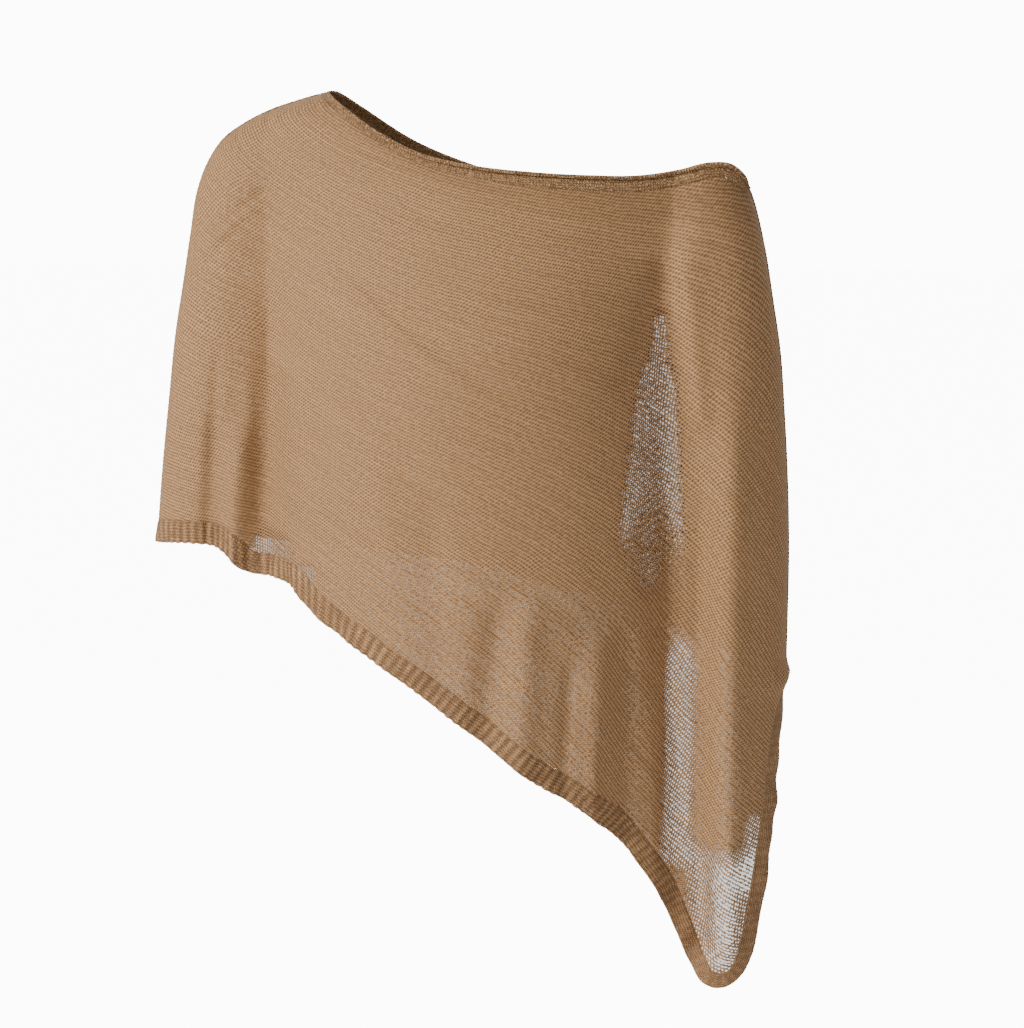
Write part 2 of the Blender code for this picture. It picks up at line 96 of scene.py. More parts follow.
class Fold(NamedTuple):
    """A soft fold from its top to its foot; a height below zero is a trough."""

    name: str
    top_x: float
    top_z: float
    foot_x: float
    foot_z: float
    width: float
    height: float


class Course(NamedTuple):
    """How the knit's courses run at one place: their fall to the left in degrees, and pitch."""

    x: float
    z: float
    fall: float
    pitch: float


RIGHT_ARM_SIDE = (
    Side(0.0345, 0.0115, 0.000, 0.050),
    Side(0.0100, 0.0045, 0.000, 0.048),
    Side(-0.0100, -0.0022, 0.000, 0.047),
    Side(-0.0310, -0.0125, 0.000, 0.046),
    Side(-0.0470, -0.0240, 0.000, 0.046),
    Side(-0.0585, -0.0400, 0.000, 0.046),
    Side(-0.0675, -0.0620, 0.000, 0.046),
    Side(-0.0735, -0.0950, 0.001, 0.046),
    Side(-0.0800, -0.1340, 0.002, 0.046),
    Side(-0.0865, -0.1720, 0.003, 0.047),
    Side(-0.0925, -0.2220, 0.004, 0.048),
    Side(-0.0985, -0.2740, 0.005, 0.048),
    Side(-0.1040, -0.3335, 0.006, 0.048),
)
LEFT_ARM_SIDE = (
    Side(0.3530, -0.0600, 0.000, 0.046),
    Side(0.3580, -0.0770, 0.000, 0.048),
    Side(0.3650, -0.1070, 0.001, 0.051),
    Side(0.3715, -0.1450, 0.002, 0.052),
    Side(0.3775, -0.1830, 0.003, 0.052),
    Side(0.3815, -0.2300, 0.004, 0.052),
    Side(0.3848, -0.2800, 0.004, 0.052),
    Side(0.3868, -0.3350, 0.004, 0.052),
    Side(0.3868, -0.3850, 0.004, 0.052),
    Side(0.3858, -0.4360, 0.004, 0.052),
    Side(0.3832, -0.4700, 0.004, 0.052, 14),
    Side(0.3816, -0.5000, 0.004, 0.052, 24),
    Side(0.3800, -0.5300, 0.004, 0.052, 32),
    Side(0.3770, -0.5600, 0.004, 0.052, 37),
    Side(0.3732, -0.5910, 0.005, 0.052, 40),
    Side(0.3690, -0.6210, 0.006, 0.052, 42),
    Side(0.3630, -0.6550, 0.006, 0.052, 42),
    Side(0.3540, -0.7150, 0.008, 0.052, 42),
)
SEAM_FOOT = -0.436        # height at which the left seam ends and the front goes on, free

NECK_FRONT = (
    Edge(0.0345, 0.0115, 0.005),
    Edge(0.0520, -0.0010, 0.005),
    Edge(0.0790, -0.0190, 0.005),
    Edge(0.1090, -0.0335, 0.006),
    Edge(0.1460, -0.0420, 0.007),
    Edge(0.1900, -0.0470, 0.009),
    Edge(0.2340, -0.0495, 0.010),
    Edge(0.2680, -0.0498, 0.011),
    Edge(0.3000, -0.0455, 0.011),
    Edge(0.3220, -0.0402, 0.011),
    Edge(0.3370, -0.0412, 0.010),
    Edge(0.3465, -0.0485, 0.010),
    Edge(0.3530, -0.0600, 0.010),
)
NECK_BACK = (
    Edge(0.0345, 0.0115, 0.005),
    Edge(0.0540, -0.0030, 0.005),
    Edge(0.0900, -0.0275, 0.006),
    Edge(0.1460, -0.0510, 0.007),
    Edge(0.2050, -0.0670, 0.009),
    Edge(0.2620, -0.0790, 0.010),
    Edge(0.3060, -0.0850, 0.010),
    Edge(0.3360, -0.0800, 0.010),
    Edge(0.3480, -0.0710, 0.010),
    Edge(0.3530, -0.0600, 0.010),
)
HEM_FRONT = (
    Edge(-0.1040, -0.3335, 0.017),
    Edge(-0.0840, -0.3295, 0.017),
    Edge(-0.0630, -0.3290, 0.017),
    Edge(-0.0500, -0.3315, 0.017),
    Edge(-0.0420, -0.3365, 0.017),
    Edge(-0.0360, -0.3440, 0.017),
    Edge(-0.0240, -0.3515, 0.017),
    Edge(-0.0050, -0.3535, 0.017),
    Edge(0.0060, -0.3565, 0.017),
    Edge(0.0160, -0.3660, 0.017),
    Edge(0.0330, -0.3795, 0.017),
    Edge(0.0570, -0.3940, 0.017),
    Edge(0.0980, -0.4200, 0.017),
    Edge(0.1260, -0.4405, 0.017),
    Edge(0.1700, -0.4760, 0.017),
    Edge(0.2000, -0.5000, 0.017),
    Edge(0.2200, -0.5140, 0.017),
    Edge(0.2450, -0.5350, 0.017),
    Edge(0.2670, -0.5620, 0.016),
    Edge(0.2850, -0.5900, 0.015),
    Edge(0.3030, -0.6310, 0.014),
    Edge(0.3140, -0.6570, 0.013),
    Edge(0.3235, -0.6715, 0.013),
    Edge(0.3360, -0.6757, 0.013),
    Edge(0.3475, -0.6735, 0.012),
    Edge(0.3560, -0.6660, 0.012),
    Edge(0.3610, -0.6540, 0.012),
    Edge(0.3660, -0.6340, 0.012),
    Edge(0.3732, -0.5910, 0.012),
)
HEM_BACK = (
    Edge(-0.1040, -0.3335, 0.017),
    Edge(-0.0700, -0.3375, 0.017),
    Edge(-0.0300, -0.3395, 0.017),
    Edge(0.0230, -0.3475, 0.017),
    Edge(0.1430, -0.3730, 0.017),
    Edge(0.2500, -0.3960, 0.017),
    Edge(0.3000, -0.4080, 0.017),
    Edge(0.3400, -0.4260, 0.017),
    Edge(0.3690, -0.4340, 0.017),
    Edge(0.3858, -0.4360, 0.017),
)
FREE_EDGE_BANDS = (
    Edge(0.3858, -0.4360, 0.000),
    Edge(0.3850, -0.4500, 0.003),
    Edge(0.3832, -0.4700, 0.007),
    Edge(0.3816, -0.5000, 0.010),
    Edge(0.3732, -0.5910, 0.012),
)
BODY_LEVELS = (
    Level(0.020, 0.030, 0.030),
    Level(-0.010, 0.052, 0.058),
    Level(-0.045, 0.072, 0.080),
    Level(-0.100, 0.100, 0.098),
    Level(-0.170, 0.121, 0.102),
    Level(-0.250, 0.120, 0.099),
    Level(-0.350, 0.116, 0.096),
    Level(-0.450, 0.116, 0.096),
    Level(-0.560, 0.110, 0.092),
    Level(-0.720, 0.098, 0.088),
)
FRONT_FOLDS = (
    Fold("left_arm_trough", 0.284, -0.120, 0.311, -0.690, 0.017, -0.010),
    Fold("left_arm_crown", 0.335, -0.130, 0.345, -0.640, 0.022, 0.006),
    Fold("right_arm_trough", 0.004, -0.120, -0.022, -0.350, 0.016, -0.006),
    Fold("sleeve_ridge", -0.030, -0.230, -0.037, -0.360, 0.009, 0.007),
    Fold("sleeve_hollow", -0.048, -0.220, -0.052, -0.350, 0.008, -0.004),
    Fold("hem_trough_middle", 0.172, -0.350, 0.158, -0.470, 0.013, -0.005),
    Fold("hem_ridge_middle", 0.192, -0.350, 0.186, -0.500, 0.012, 0.004),
    Fold("hem_ridge_side", 0.243, -0.380, 0.243, -0.540, 0.011, 0.005),
    Fold("hem_trough_side", 0.262, -0.380, 0.262, -0.560, 0.010, -0.005),
    Fold("hem_ridge_outer", 0.286, -0.430, 0.290, -0.600, 0.009, 0.004),
    # Smaller ones, of the looks alone
    Fold("arm_edge_line", 0.317, -0.250, 0.322, -0.640, 0.0095, -0.0080),
    Fold("arm_crown_line", 0.342, -0.190, 0.342, -0.560, 0.0120, 0.0040),
    Fold("arm_filled_valley", 0.307, -0.070, 0.312, -0.220, 0.0140, 0.0045),
    Fold("under_arm_crease", 0.285, -0.100, 0.289, -0.190, 0.0060, -0.0015),
    Fold("shoulder_wrinkle_a", -0.006, -0.058, -0.048, -0.092, 0.0035, -0.0016),
    Fold("shoulder_wrinkle_b", -0.012, -0.066, -0.052, -0.102, 0.0035, 0.0014),
    Fold("shoulder_wrinkle_c", -0.020, -0.078, -0.055, -0.113, 0.0040, -0.0013),
    Fold("sleeve_dark_line", -0.046, -0.170, -0.060, -0.335, 0.0045, -0.0022),
    Fold("sleeve_light_line", -0.024, -0.190, -0.024, -0.345, 0.0060, 0.0020),
    Fold("side_dark_line", 0.247, -0.460, 0.250, -0.560, 0.0050, -0.0030),
    Fold("middle_dark_line", 0.222, -0.400, 0.216, -0.520, 0.0060, -0.0025),
    Fold("point_dark_line", 0.323, -0.560, 0.327, -0.650, 0.0070, -0.0040),
    Fold("point_light_line", 0.342, -0.540, 0.344, -0.640, 0.0080, 0.0025),
    Fold("under_arm_pull_a", 0.292, -0.105, 0.262, -0.200, 0.0090, -0.0022),
    Fold("under_arm_pull_b", 0.300, -0.090, 0.318, -0.230, 0.0080, 0.0020),
    Fold("body_pull_a", 0.030, -0.160, 0.052, -0.370, 0.0110, -0.0022),
    Fold("body_pull_b", 0.075, -0.230, 0.098, -0.400, 0.0130, 0.0022),
    Fold("body_pull_c", 0.118, -0.270, 0.128, -0.430, 0.0110, -0.0020),
)
BACK_FOLDS = (
    Fold("left_arm_trough", 0.290, -0.110, 0.302, -0.450, 0.018, -0.009),
    Fold("right_arm_trough", 0.002, -0.110, -0.018, -0.370, 0.018, -0.008),
    Fold("shoulder_hollow", 0.110, -0.130, 0.062, -0.400, 0.024, -0.005),
    Fold("middle_ridge", 0.150, -0.200, 0.128, -0.410, 0.018, 0.005),
    Fold("hem_hollow", 0.212, -0.240, 0.206, -0.430, 0.016, -0.005),
    Fold("hem_ridge", 0.248, -0.260, 0.250, -0.440, 0.014, 0.005),
    # Smaller ones, of the looks alone
    Fold("shoulder_wrinkle_a", -0.004, -0.056, -0.046, -0.096, 0.0040, -0.0016),
    Fold("shoulder_wrinkle_b", -0.014, -0.068, -0.052, -0.108, 0.0040, 0.0014),
    Fold("sleeve_line_a", -0.040, -0.180, -0.052, -0.335, 0.0060, -0.0025),
    Fold("sleeve_line_b", -0.060, -0.200, -0.070, -0.330, 0.0060, 0.0020),
    Fold("blade_line", 0.060, -0.110, 0.104, -0.300, 0.0120, -0.0022),
    Fold("hem_line_a", 0.180, -0.270, 0.172, -0.390, 0.0070, 0.0022),
    Fold("hem_line_b", 0.098, -0.280, 0.090, -0.370, 0.0070, -0.0022),
    Fold("hem_line_c", 0.272, -0.300, 0.276, -0.410, 0.0060, -0.0022),
    Fold("left_arm_line", 0.334, -0.200, 0.342, -0.425, 0.0080, -0.0022),
)
# Where the knit is stretched open: stretches as soft as folds, with how far open each is
OPEN_PLACES = (
    Fold("beside_left_arm_outer", 0.309, -0.366, 0.2865, -0.152, 0.0080, 0.34),
    Fold("beside_left_arm_inner", 0.254, -0.350, 0.2860, -0.152, 0.0080, 0.34),
    Fold("beside_left_arm_middle", 0.278, -0.390, 0.2836, -0.205, 0.0210, 0.50),
    Fold("below_left_arm", 0.305, -0.382, 0.302, -0.565, 0.0130, 0.85),
    Fold("point", 0.340, -0.556, 0.339, -0.650, 0.0250, 1.3),
    Fold("point_side", 0.3635, -0.530, 0.361, -0.590, 0.0080, 0.9),
    Fold("beside_right_arm", -0.008, -0.170, 0.008, -0.300, 0.0340, 0.34),
    Fold("hem_corner_right", -0.024, -0.327, -0.001, -0.333, 0.0120, 0.80),
    Fold("hem_corner_left", 0.021, -0.336, 0.0245, -0.362, 0.0100, 0.66),
)
VIEW_MIDDLE = (0.173, -0.313)   # the place where a level look from the front meets the cloth
FRONT_COURSES = (
    Course(-0.021, -0.053, 35, 0.0023),
    Course(0.034, -0.052, 35, 0.0022),
    Course(-0.095, -0.250, 12, 0.0024),
    Course(-0.070, -0.257, 15, 0.0025),
    Course(-0.061, -0.143, 21, 0.0024),
    Course(-0.024, -0.295, 30, 0.0022),
    Course(-0.022, -0.143, 31, 0.0023),
    Course(0.010, -0.216, 24, 0.0026),
    Course(0.081, -0.094, 20, 0.0022),
    Course(0.097, -0.136, 20, 0.0022),
    Course(0.098, -0.208, 19, 0.0024),
    Course(0.147, -0.065, 9, 0.0022),
    Course(0.212, -0.073, 5, 0.0022),
    Course(0.242, -0.138, 13, 0.0023),
    Course(0.278, -0.103, 7, 0.0024),
    Course(0.171, -0.281, 33, 0.0024),
    Course(0.171, -0.356, 38, 0.0025),
    Course(0.243, -0.285, 38, 0.0024),
    Course(0.287, -0.253, 42, 0.0024),
    Course(0.185, -0.416, 42, 0.0026),
    Course(0.244, -0.452, 50, 0.0025),
    Course(0.305, -0.487, 48, 0.0027),
    Course(0.332, -0.289, 52, 0.0027),
    Course(0.333, -0.366, 54, 0.0026),
    Course(0.363, -0.291, 58, 0.0026),
    Course(0.364, -0.368, 60, 0.0026),
    Course(0.365, -0.447, 60, 0.0026),
    Course(0.330, -0.052, 3, 0.0030),
    Course(0.349, -0.097, 38, 0.0030),
    Course(0.361, -0.142, 50, 0.0028),
    Course(0.315, -0.111, 10, 0.0028),
    Course(0.316, -0.163, 29, 0.0027),
    Course(0.314, -0.606, 38, 0.0028),
    Course(0.331, -0.643, 36, 0.0028),
    Course(0.287, -0.587, 56, 0.0026),
)
BACK_COURSES = (
    Course(-0.020, -0.053, 30, 0.0023),
    Course(0.060, -0.080, 22, 0.0023),
    Course(0.200, -0.090, 8, 0.0023),
    Course(0.320, -0.090, 4, 0.0025),
    Course(-0.080, -0.200, 10, 0.0024),
    Course(0.030, -0.200, 14, 0.0024),
    Course(0.150, -0.220, 12, 0.0025),
    Course(0.280, -0.220, 12, 0.0025),
    Course(0.370, -0.230, 20, 0.0025),
    Course(-0.080, -0.320, 4, 0.0024),
    Course(0.060, -0.340, 10, 0.0024),
    Course(0.200, -0.370, 14, 0.0025),
    Course(0.370, -0.400, 16, 0.0025),
)


def hermite(stops: np.ndarray, knots: np.ndarray, where: np.ndarray) -> np.ndarray:
    """Read a smooth curve through knots, which stand at stops along it.

    Args:
        stops: Where each knot stands, rising.
        knots: One row of values a knot.
        where: Places at which the curve is read.

    Returns:
        One row of values a place.
    """
    slopes = np.gradient(knots, stops, axis=0)
    span = np.clip(np.searchsorted(stops, where, side="right") - 1, 0, len(stops) - 2)
    length = (stops[span + 1] - stops[span])[:, None]
    share = (where - stops[span])[:, None] / length
    start_pull = (1 + 2 * share) * (1 - share) ** 2
    end_pull = share ** 2 * (3 - 2 * share)
    start_slope = share * (1 - share) ** 2 * length
    end_slope = share ** 2 * (share - 1) * length
    return (start_pull * knots[span] + end_pull * knots[span + 1]
            + start_slope * slopes[span] + end_slope * slopes[span + 1])


def lengths(points: np.ndarray) -> np.ndarray:
    """Return the length run along a line of points, up to each of them."""
    steps = np.linalg.norm(np.diff(points, axis=0), axis=1)
    return np.concatenate(([0.0], np.cumsum(steps)))


def row_lengths(grid: np.ndarray) -> np.ndarray:
    """Return the length run along each row of a grid of points."""
    steps = np.linalg.norm(np.diff(grid, axis=1), axis=2)
    return np.concatenate((np.zeros((len(grid), 1)), np.cumsum(steps, axis=1)), axis=1)


def along(points: np.ndarray, shares: np.ndarray) -> np.ndarray:
    """Return points of a line at shares of its length in x and z."""
    run = lengths(points[:, :2])
    where = np.asarray(shares) * run[-1]
    return np.column_stack([np.interp(where, run, column) for column in points.T])


def read(line: np.ndarray, where: np.ndarray) -> np.ndarray:
    """Return rows of a dense line at fractional places in it."""
    index = np.arange(len(line))
    return np.column_stack([np.interp(where, index, column) for column in line.T])


def smooth_line(rows: tuple) -> np.ndarray:
    """Return a dense smooth line through a table's rows, read by the length in x and z."""
    knots = np.array(rows, dtype=float)
    stops = lengths(knots[:, :2])
    return hermite(stops, knots, np.linspace(0.0, stops[-1], LINE_STEPS))


def ramp(value: np.ndarray, low: float, high: float) -> np.ndarray:
    """Return 0 below low, 1 above high, and a smooth rise between them."""
    share = np.clip((value - low) / (high - low), 0.0, 1.0)
    return share * share * (3 - 2 * share)


def unit(vectors: np.ndarray) -> np.ndarray:
    """Return vectors of length one."""
    return vectors / np.maximum(np.linalg.norm(vectors, axis=-1, keepdims=True), 1e-12)


def grid_normals(points: np.ndarray) -> np.ndarray:
    """Return the unit normals of a grid of points, turned by its own rows and columns."""
    down = np.gradient(points, axis=0)
    across = np.gradient(points, axis=1)
    return unit(np.cross(down, across))


@dataclass
class Drape:
    """The worn cloth's general form, from its side lines, levels and folds."""

    body_centre: float = 0.143
    body_half_width: float = 0.153
    slack: float = 0.040
    side_ease: float = 0.035
    seam_gap: float = 0.0003
    corner_swell: float = 0.0040
    corner_reach: float = 0.0085
    corner_rise: tuple[float, float] = (0.360, 0.384)
    arm_blend: tuple[float, float] = (0.35, 0.65)
    fold_rise: tuple[float, float] = (-0.05, 0.25)
    band_blend: float = 0.02
    spread_heights: tuple[float, float, int] = (0.02, -0.72, 45)
    spread_turns: int = 161
    right: np.ndarray = field(default_factory=lambda: smooth_line(RIGHT_ARM_SIDE))
    left: np.ndarray = field(default_factory=lambda: smooth_line(LEFT_ARM_SIDE))

    def level(self, z: np.ndarray, face: Face) -> np.ndarray:
        """Return how far the cloth stands out over the body at heights z, on one face."""
        rows = BODY_LEVELS[::-1]
        stops = np.array([row.z for row in rows])
        knots = np.array([[getattr(row, face.value)] for row in rows])
        return hermite(stops, knots, np.clip(z, stops[0], stops[-1]))[:, 0]

    def arm(self, places: np.ndarray, line: np.ndarray, face: Face) -> tuple:
        """Work out the depth of the cloth round one arm, in from its side line.

        Args:
            places: Places seen square on, in x and z.
            line: The arm's side line.
            face: The side of the garment.

        Returns:
            The depth and the side line's own depth, at each place.
        """
        start = line[:-1, :2]
        run = line[1:, :2] - start
        offset = places[:, None, :] - start[None]
        share = np.clip((offset * run).sum(2) / (run * run).sum(1), 0.0, 1.0)
        gap = np.linalg.norm(offset - share[..., None] * run[None], axis=2)
        best = gap.argmin(1)
        picked = share[np.arange(len(places)), best][:, None]
        columns = line[best] * (1 - picked) + line[best + 1] * picked
        turn = np.radians(columns[:, 4]) * ((columns[:, 1] < SEAM_FOOT) & (face is Face.FRONT))
        cosine = np.clip(np.cos(turn) - gap.min(1) / columns[:, 3], 0.0, 1.0)
        return columns[:, 3] * np.sqrt(1 - cosine * cosine), columns[:, 2]

    def soft_sum(self, places: np.ndarray, rows: tuple) -> np.ndarray:
        """Return the sum of a table's soft stretches at each place."""
        total = np.zeros(len(places))
        for fold in rows:
            top = np.array((fold.top_x, fold.top_z))
            run = np.array((fold.foot_x, fold.foot_z)) - top
            offset = places - top
            share = (offset @ run) / (run @ run)
            across = offset - np.clip(share, 0.0, 1.0)[:, None] * run
            shape = np.exp(-(across * across).sum(1) / (fold.width * fold.width))
            total += fold.height * shape * ramp(share, *self.fold_rise)
        return total

    def cloth(self, places: np.ndarray, face: Face) -> np.ndarray:
        """Lay places seen square on, in x and z, on the cloth's outer face.

        Args:
            places: A row or a grid of x and z.
            face: The side of the garment.

        Returns:
            Points in space, in the same rows and columns.
        """
        flat = places.reshape(-1, 2)
        parts = [self._cloth(flat[at:at + CHUNK], face) for at in range(0, len(flat), CHUNK)]
        return np.concatenate(parts).reshape(*places.shape[:-1], 3)

    def _cloth(self, places: np.ndarray, face: Face) -> np.ndarray:
        """Return the points of one chunk of places."""
        right, right_forward = self.arm(places, self.right, face)
        left, left_forward = self.arm(places, self.left, face)
        x, z = places.T
        first = self.right[:, 0].min()
        span = self.left[:, 0].max() - first
        mix = ramp((x - first) / span, *self.arm_blend)
        arms = right * (1 - mix) + left * mix
        forward = right_forward * (1 - mix) + left_forward * mix
        across = np.clip((x - self.body_centre) / self.body_half_width, -1.0, 1.0)
        body = self.level(z, face) * np.sqrt(1 - across * across)
        overlap = np.maximum(self.slack - np.abs(arms - body), 0.0) / self.slack
        bridged = np.maximum(arms, body) + overlap * overlap * self.slack / 4
        inside = ramp(arms, 0.0, self.side_ease)
        depth = arms + (bridged - arms) * inside
        folds = FRONT_FOLDS if face is Face.FRONT else BACK_FOLDS
        depth = depth + self.soft_sum(places, folds) * inside
        y = -(forward + face.toward * np.maximum(depth, self.seam_gap / 2))
        return np.column_stack((x + self.swelling(x, z), y, z))

    def swelling(self, x: np.ndarray, z: np.ndarray) -> np.ndarray:
        """Return how far the cloth bulges past its side line at the back hem's corner."""
        bulge = np.exp(-((z - SEAM_FOOT) / self.corner_reach) ** 2)
        return self.corner_swell * bulge * ramp(x, *self.corner_rise)

    def spread(self, places: np.ndarray, face: Face) -> np.ndarray:
        """Return how far round the cloth each place lies from the middle, at its own height."""
        heights = np.linspace(*self.spread_heights)
        turns = np.linspace(0, math.pi, self.spread_turns)
        first, last = (
            np.interp(-heights, -line[:, 1], line[:, 0]) for line in (self.right, self.left)
        )
        x = first[:, None] + (last - first)[:, None] * (1 - np.cos(turns)) / 2
        level = np.column_stack((x.ravel(), np.repeat(heights, len(turns))))
        run = row_lengths(self.cloth(level, face).reshape(len(heights), len(turns), 3))
        middles = [np.interp(self.body_centre, across, length) for across, length in zip(x, run)]
        run = run - np.array(middles)[:, None]
        row = np.interp(-places[:, 1], -heights, np.arange(len(heights)))
        upper = np.minimum(row.astype(int), len(heights) - 2)
        mix = row - upper
        near, far = (
            np.interp(row, np.arange(len(heights)), ends) for ends in (first, last)
        )
        share = np.clip((places[:, 0] - near) / (far - near), 0.0, 1.0)
        column = np.arccos(1 - 2 * share) / math.pi * (len(turns) - 1)
        before = np.minimum(column.astype(int), len(turns) - 2)
        part = column - before
        return sum(
            weight * (run[index, before] * (1 - part) + run[index, before + 1] * part)
            for index, weight in ((upper, 1 - mix), (upper + 1, mix))
        )

    def share_at(self, line: np.ndarray, z: float) -> float:
        """Return the share of a side line's length at height z."""
        run = lengths(line[:, :2])
        return float(np.interp(-z, -line[:, 1], run) / run[-1])

    def place_at(self, line: np.ndarray, share: float) -> np.ndarray:
        """Return the place on a side line at a share of its length."""
        return along(line, np.array([share]))[0, :2]

    def band_line(self, border: np.ndarray, ends: tuple, side: int = 1) -> np.ndarray:
        """Work out the inner line of a border's band.

        Args:
            border: Dense rows of x, z and the band's width.
            ends: The places where the inner line starts and ends.
            side: 1 where the cloth is on the left of the line, -1 on its right.

        Returns:
            Rows of x and z.
        """
        run = unit(np.gradient(border[:, :2], axis=0))
        step = np.column_stack((-run[:, 1], run[:, 0])) * side * border[:, 2:3]
        length = lengths(border[:, :2])
        for end, place, gap in ((0, ends[0], length), (-1, ends[1], length[-1] - length)):
            near = (1 - ramp(gap, 0.0, self.band_blend))[:, None]
            step += near * (place - border[end, :2] - step)
        return border[:, :2] + step


@dataclass
class CourseField:
    """Smooth counts of wales and courses over one face, fitted to the slopes in its table."""

    drape: Drape
    face: Face
    degree: int = 4
    reach: float = 0.30
    middle_height: float = -0.30
    wale_pitch: float = 0.0023
    stiffness: float = 0.02
    probe: float = 0.002

    def __post_init__(self) -> None:
        """Fit both counts."""
        rows = np.array(FRONT_COURSES if self.face is Face.FRONT else BACK_COURSES)
        places, fall, pitch = rows[:, :2], np.radians(rows[:, 2]), rows[:, 3]
        aside = self.drape.spread(places + np.array((self.probe, 0.0)), self.face)
        stretch = (aside - self.drape.spread(places, self.face)) / self.probe
        down = -np.column_stack((np.sin(fall) / stretch, np.cos(fall))) / pitch[:, None]
        across = unit(np.column_stack((-down[:, 1], down[:, 0]))) / self.wale_pitch
        self.course = self.fit(places, down)
        self.wale = self.fit(places, across)

    @property
    def powers(self) -> list[tuple[int, int]]:
        """Return the powers of the two directions in each term."""
        span = range(self.degree + 1)
        return [(i, j) for i in span for j in span if 0 < i + j <= self.degree]

    def scaled(self, places: np.ndarray) -> tuple[np.ndarray, np.ndarray]:
        """Return the two directions of places, unrolled and scaled to about one."""
        return (
            self.drape.spread(places, self.face) / self.reach,
            (places[:, 1] - self.middle_height) / self.reach,
        )

    def fit(self, places: np.ndarray, slopes: np.ndarray) -> np.ndarray:
        """Return the terms whose slopes come nearest to those given, in counts a metre."""
        s, z = self.scaled(places)
        by_s = [i * s ** max(i - 1, 0) * z ** j for i, j in self.powers]
        by_z = [j * s ** i * z ** max(j - 1, 0) for i, j in self.powers]
        system = np.vstack((np.array(by_s).T, np.array(by_z).T))
        wanted = slopes.T.ravel() * self.reach
        held = system.T @ system + self.stiffness * np.eye(len(self.powers))
        return np.linalg.solve(held, system.T @ wanted)

    def counts(self, places: np.ndarray) -> np.ndarray:
        """Return the wale and course counts at places seen square on."""
        s, z = self.scaled(places)
        terms = np.array([s ** i * z ** j for i, j in self.powers]).T
        return np.column_stack((terms @ self.wale, terms @ self.course))


@dataclass
class Borders:
    """The four borders of one face of the garment, as dense lines of x and z."""

    drape: Drape
    face: Face
    neck: np.ndarray = field(init=False)
    neck_seam: np.ndarray = field(init=False)
    hem: np.ndarray = field(init=False)
    hem_seam: np.ndarray = field(init=False)
    point: int = field(init=False)

    def __post_init__(self) -> None:
        """Work the lines out of the tables."""
        drape = self.drape
        front = self.face is Face.FRONT
        table = NECK_FRONT if front else NECK_BACK
        line = smooth_line(table)
        ends = tuple(
            drape.place_at(side, row.band / lengths(side[:, :2])[-1])
            for side, row in ((drape.right, table[0]), (drape.left, table[-1]))
        )
        self.neck = line[:, :2]
        self.neck_seam = drape.band_line(line, ends, side=-1)
        right_run = lengths(drape.right[:, :2])[-1]
        left_run = lengths(drape.left[:, :2])[-1]
        first = drape.place_at(drape.right, 1 - HEM_FRONT[0].band / right_run)
        foot = drape.share_at(drape.left, SEAM_FOOT)
        if front:
            border = np.vstack((smooth_line(HEM_FRONT), self._free_edge()[1:]))
            last = drape.place_at(drape.left, foot)
        else:
            border = smooth_line(HEM_BACK)
            last = drape.place_at(drape.left, foot - HEM_BACK[-1].band / left_run)
        self.hem = border[:, :2]
        self.hem_seam = drape.band_line(border, (first, last))
        self.point = int(self.hem[:, 1].argmin()) if front else len(border) - 1

    def _free_edge(self) -> np.ndarray:
        """Return the front's free edge, up its side line, with its band's width."""
        drape = self.drape
        start = drape.share_at(drape.left, HEM_FRONT[-1].z)
        end = drape.share_at(drape.left, SEAM_FOOT)
        line = along(drape.left, np.linspace(start, end, LINE_STEPS // 2))[:, :2]
        heights = [row.z for row in FREE_EDGE_BANDS[::-1]]
        bands = [row.band for row in FREE_EDGE_BANDS[::-1]]
        return np.column_stack((line, np.interp(line[:, 1], heights, bands)))

    def side(self, line: np.ndarray, start: float, end: float, shares: np.ndarray) -> np.ndarray:
        """Return places down a side line, at shares of the stretch between two heights."""
        first = self.drape.share_at(line, start)
        last = self.drape.share_at(line, end)
        return along(line, first + shares * (last - first))[:, :2]


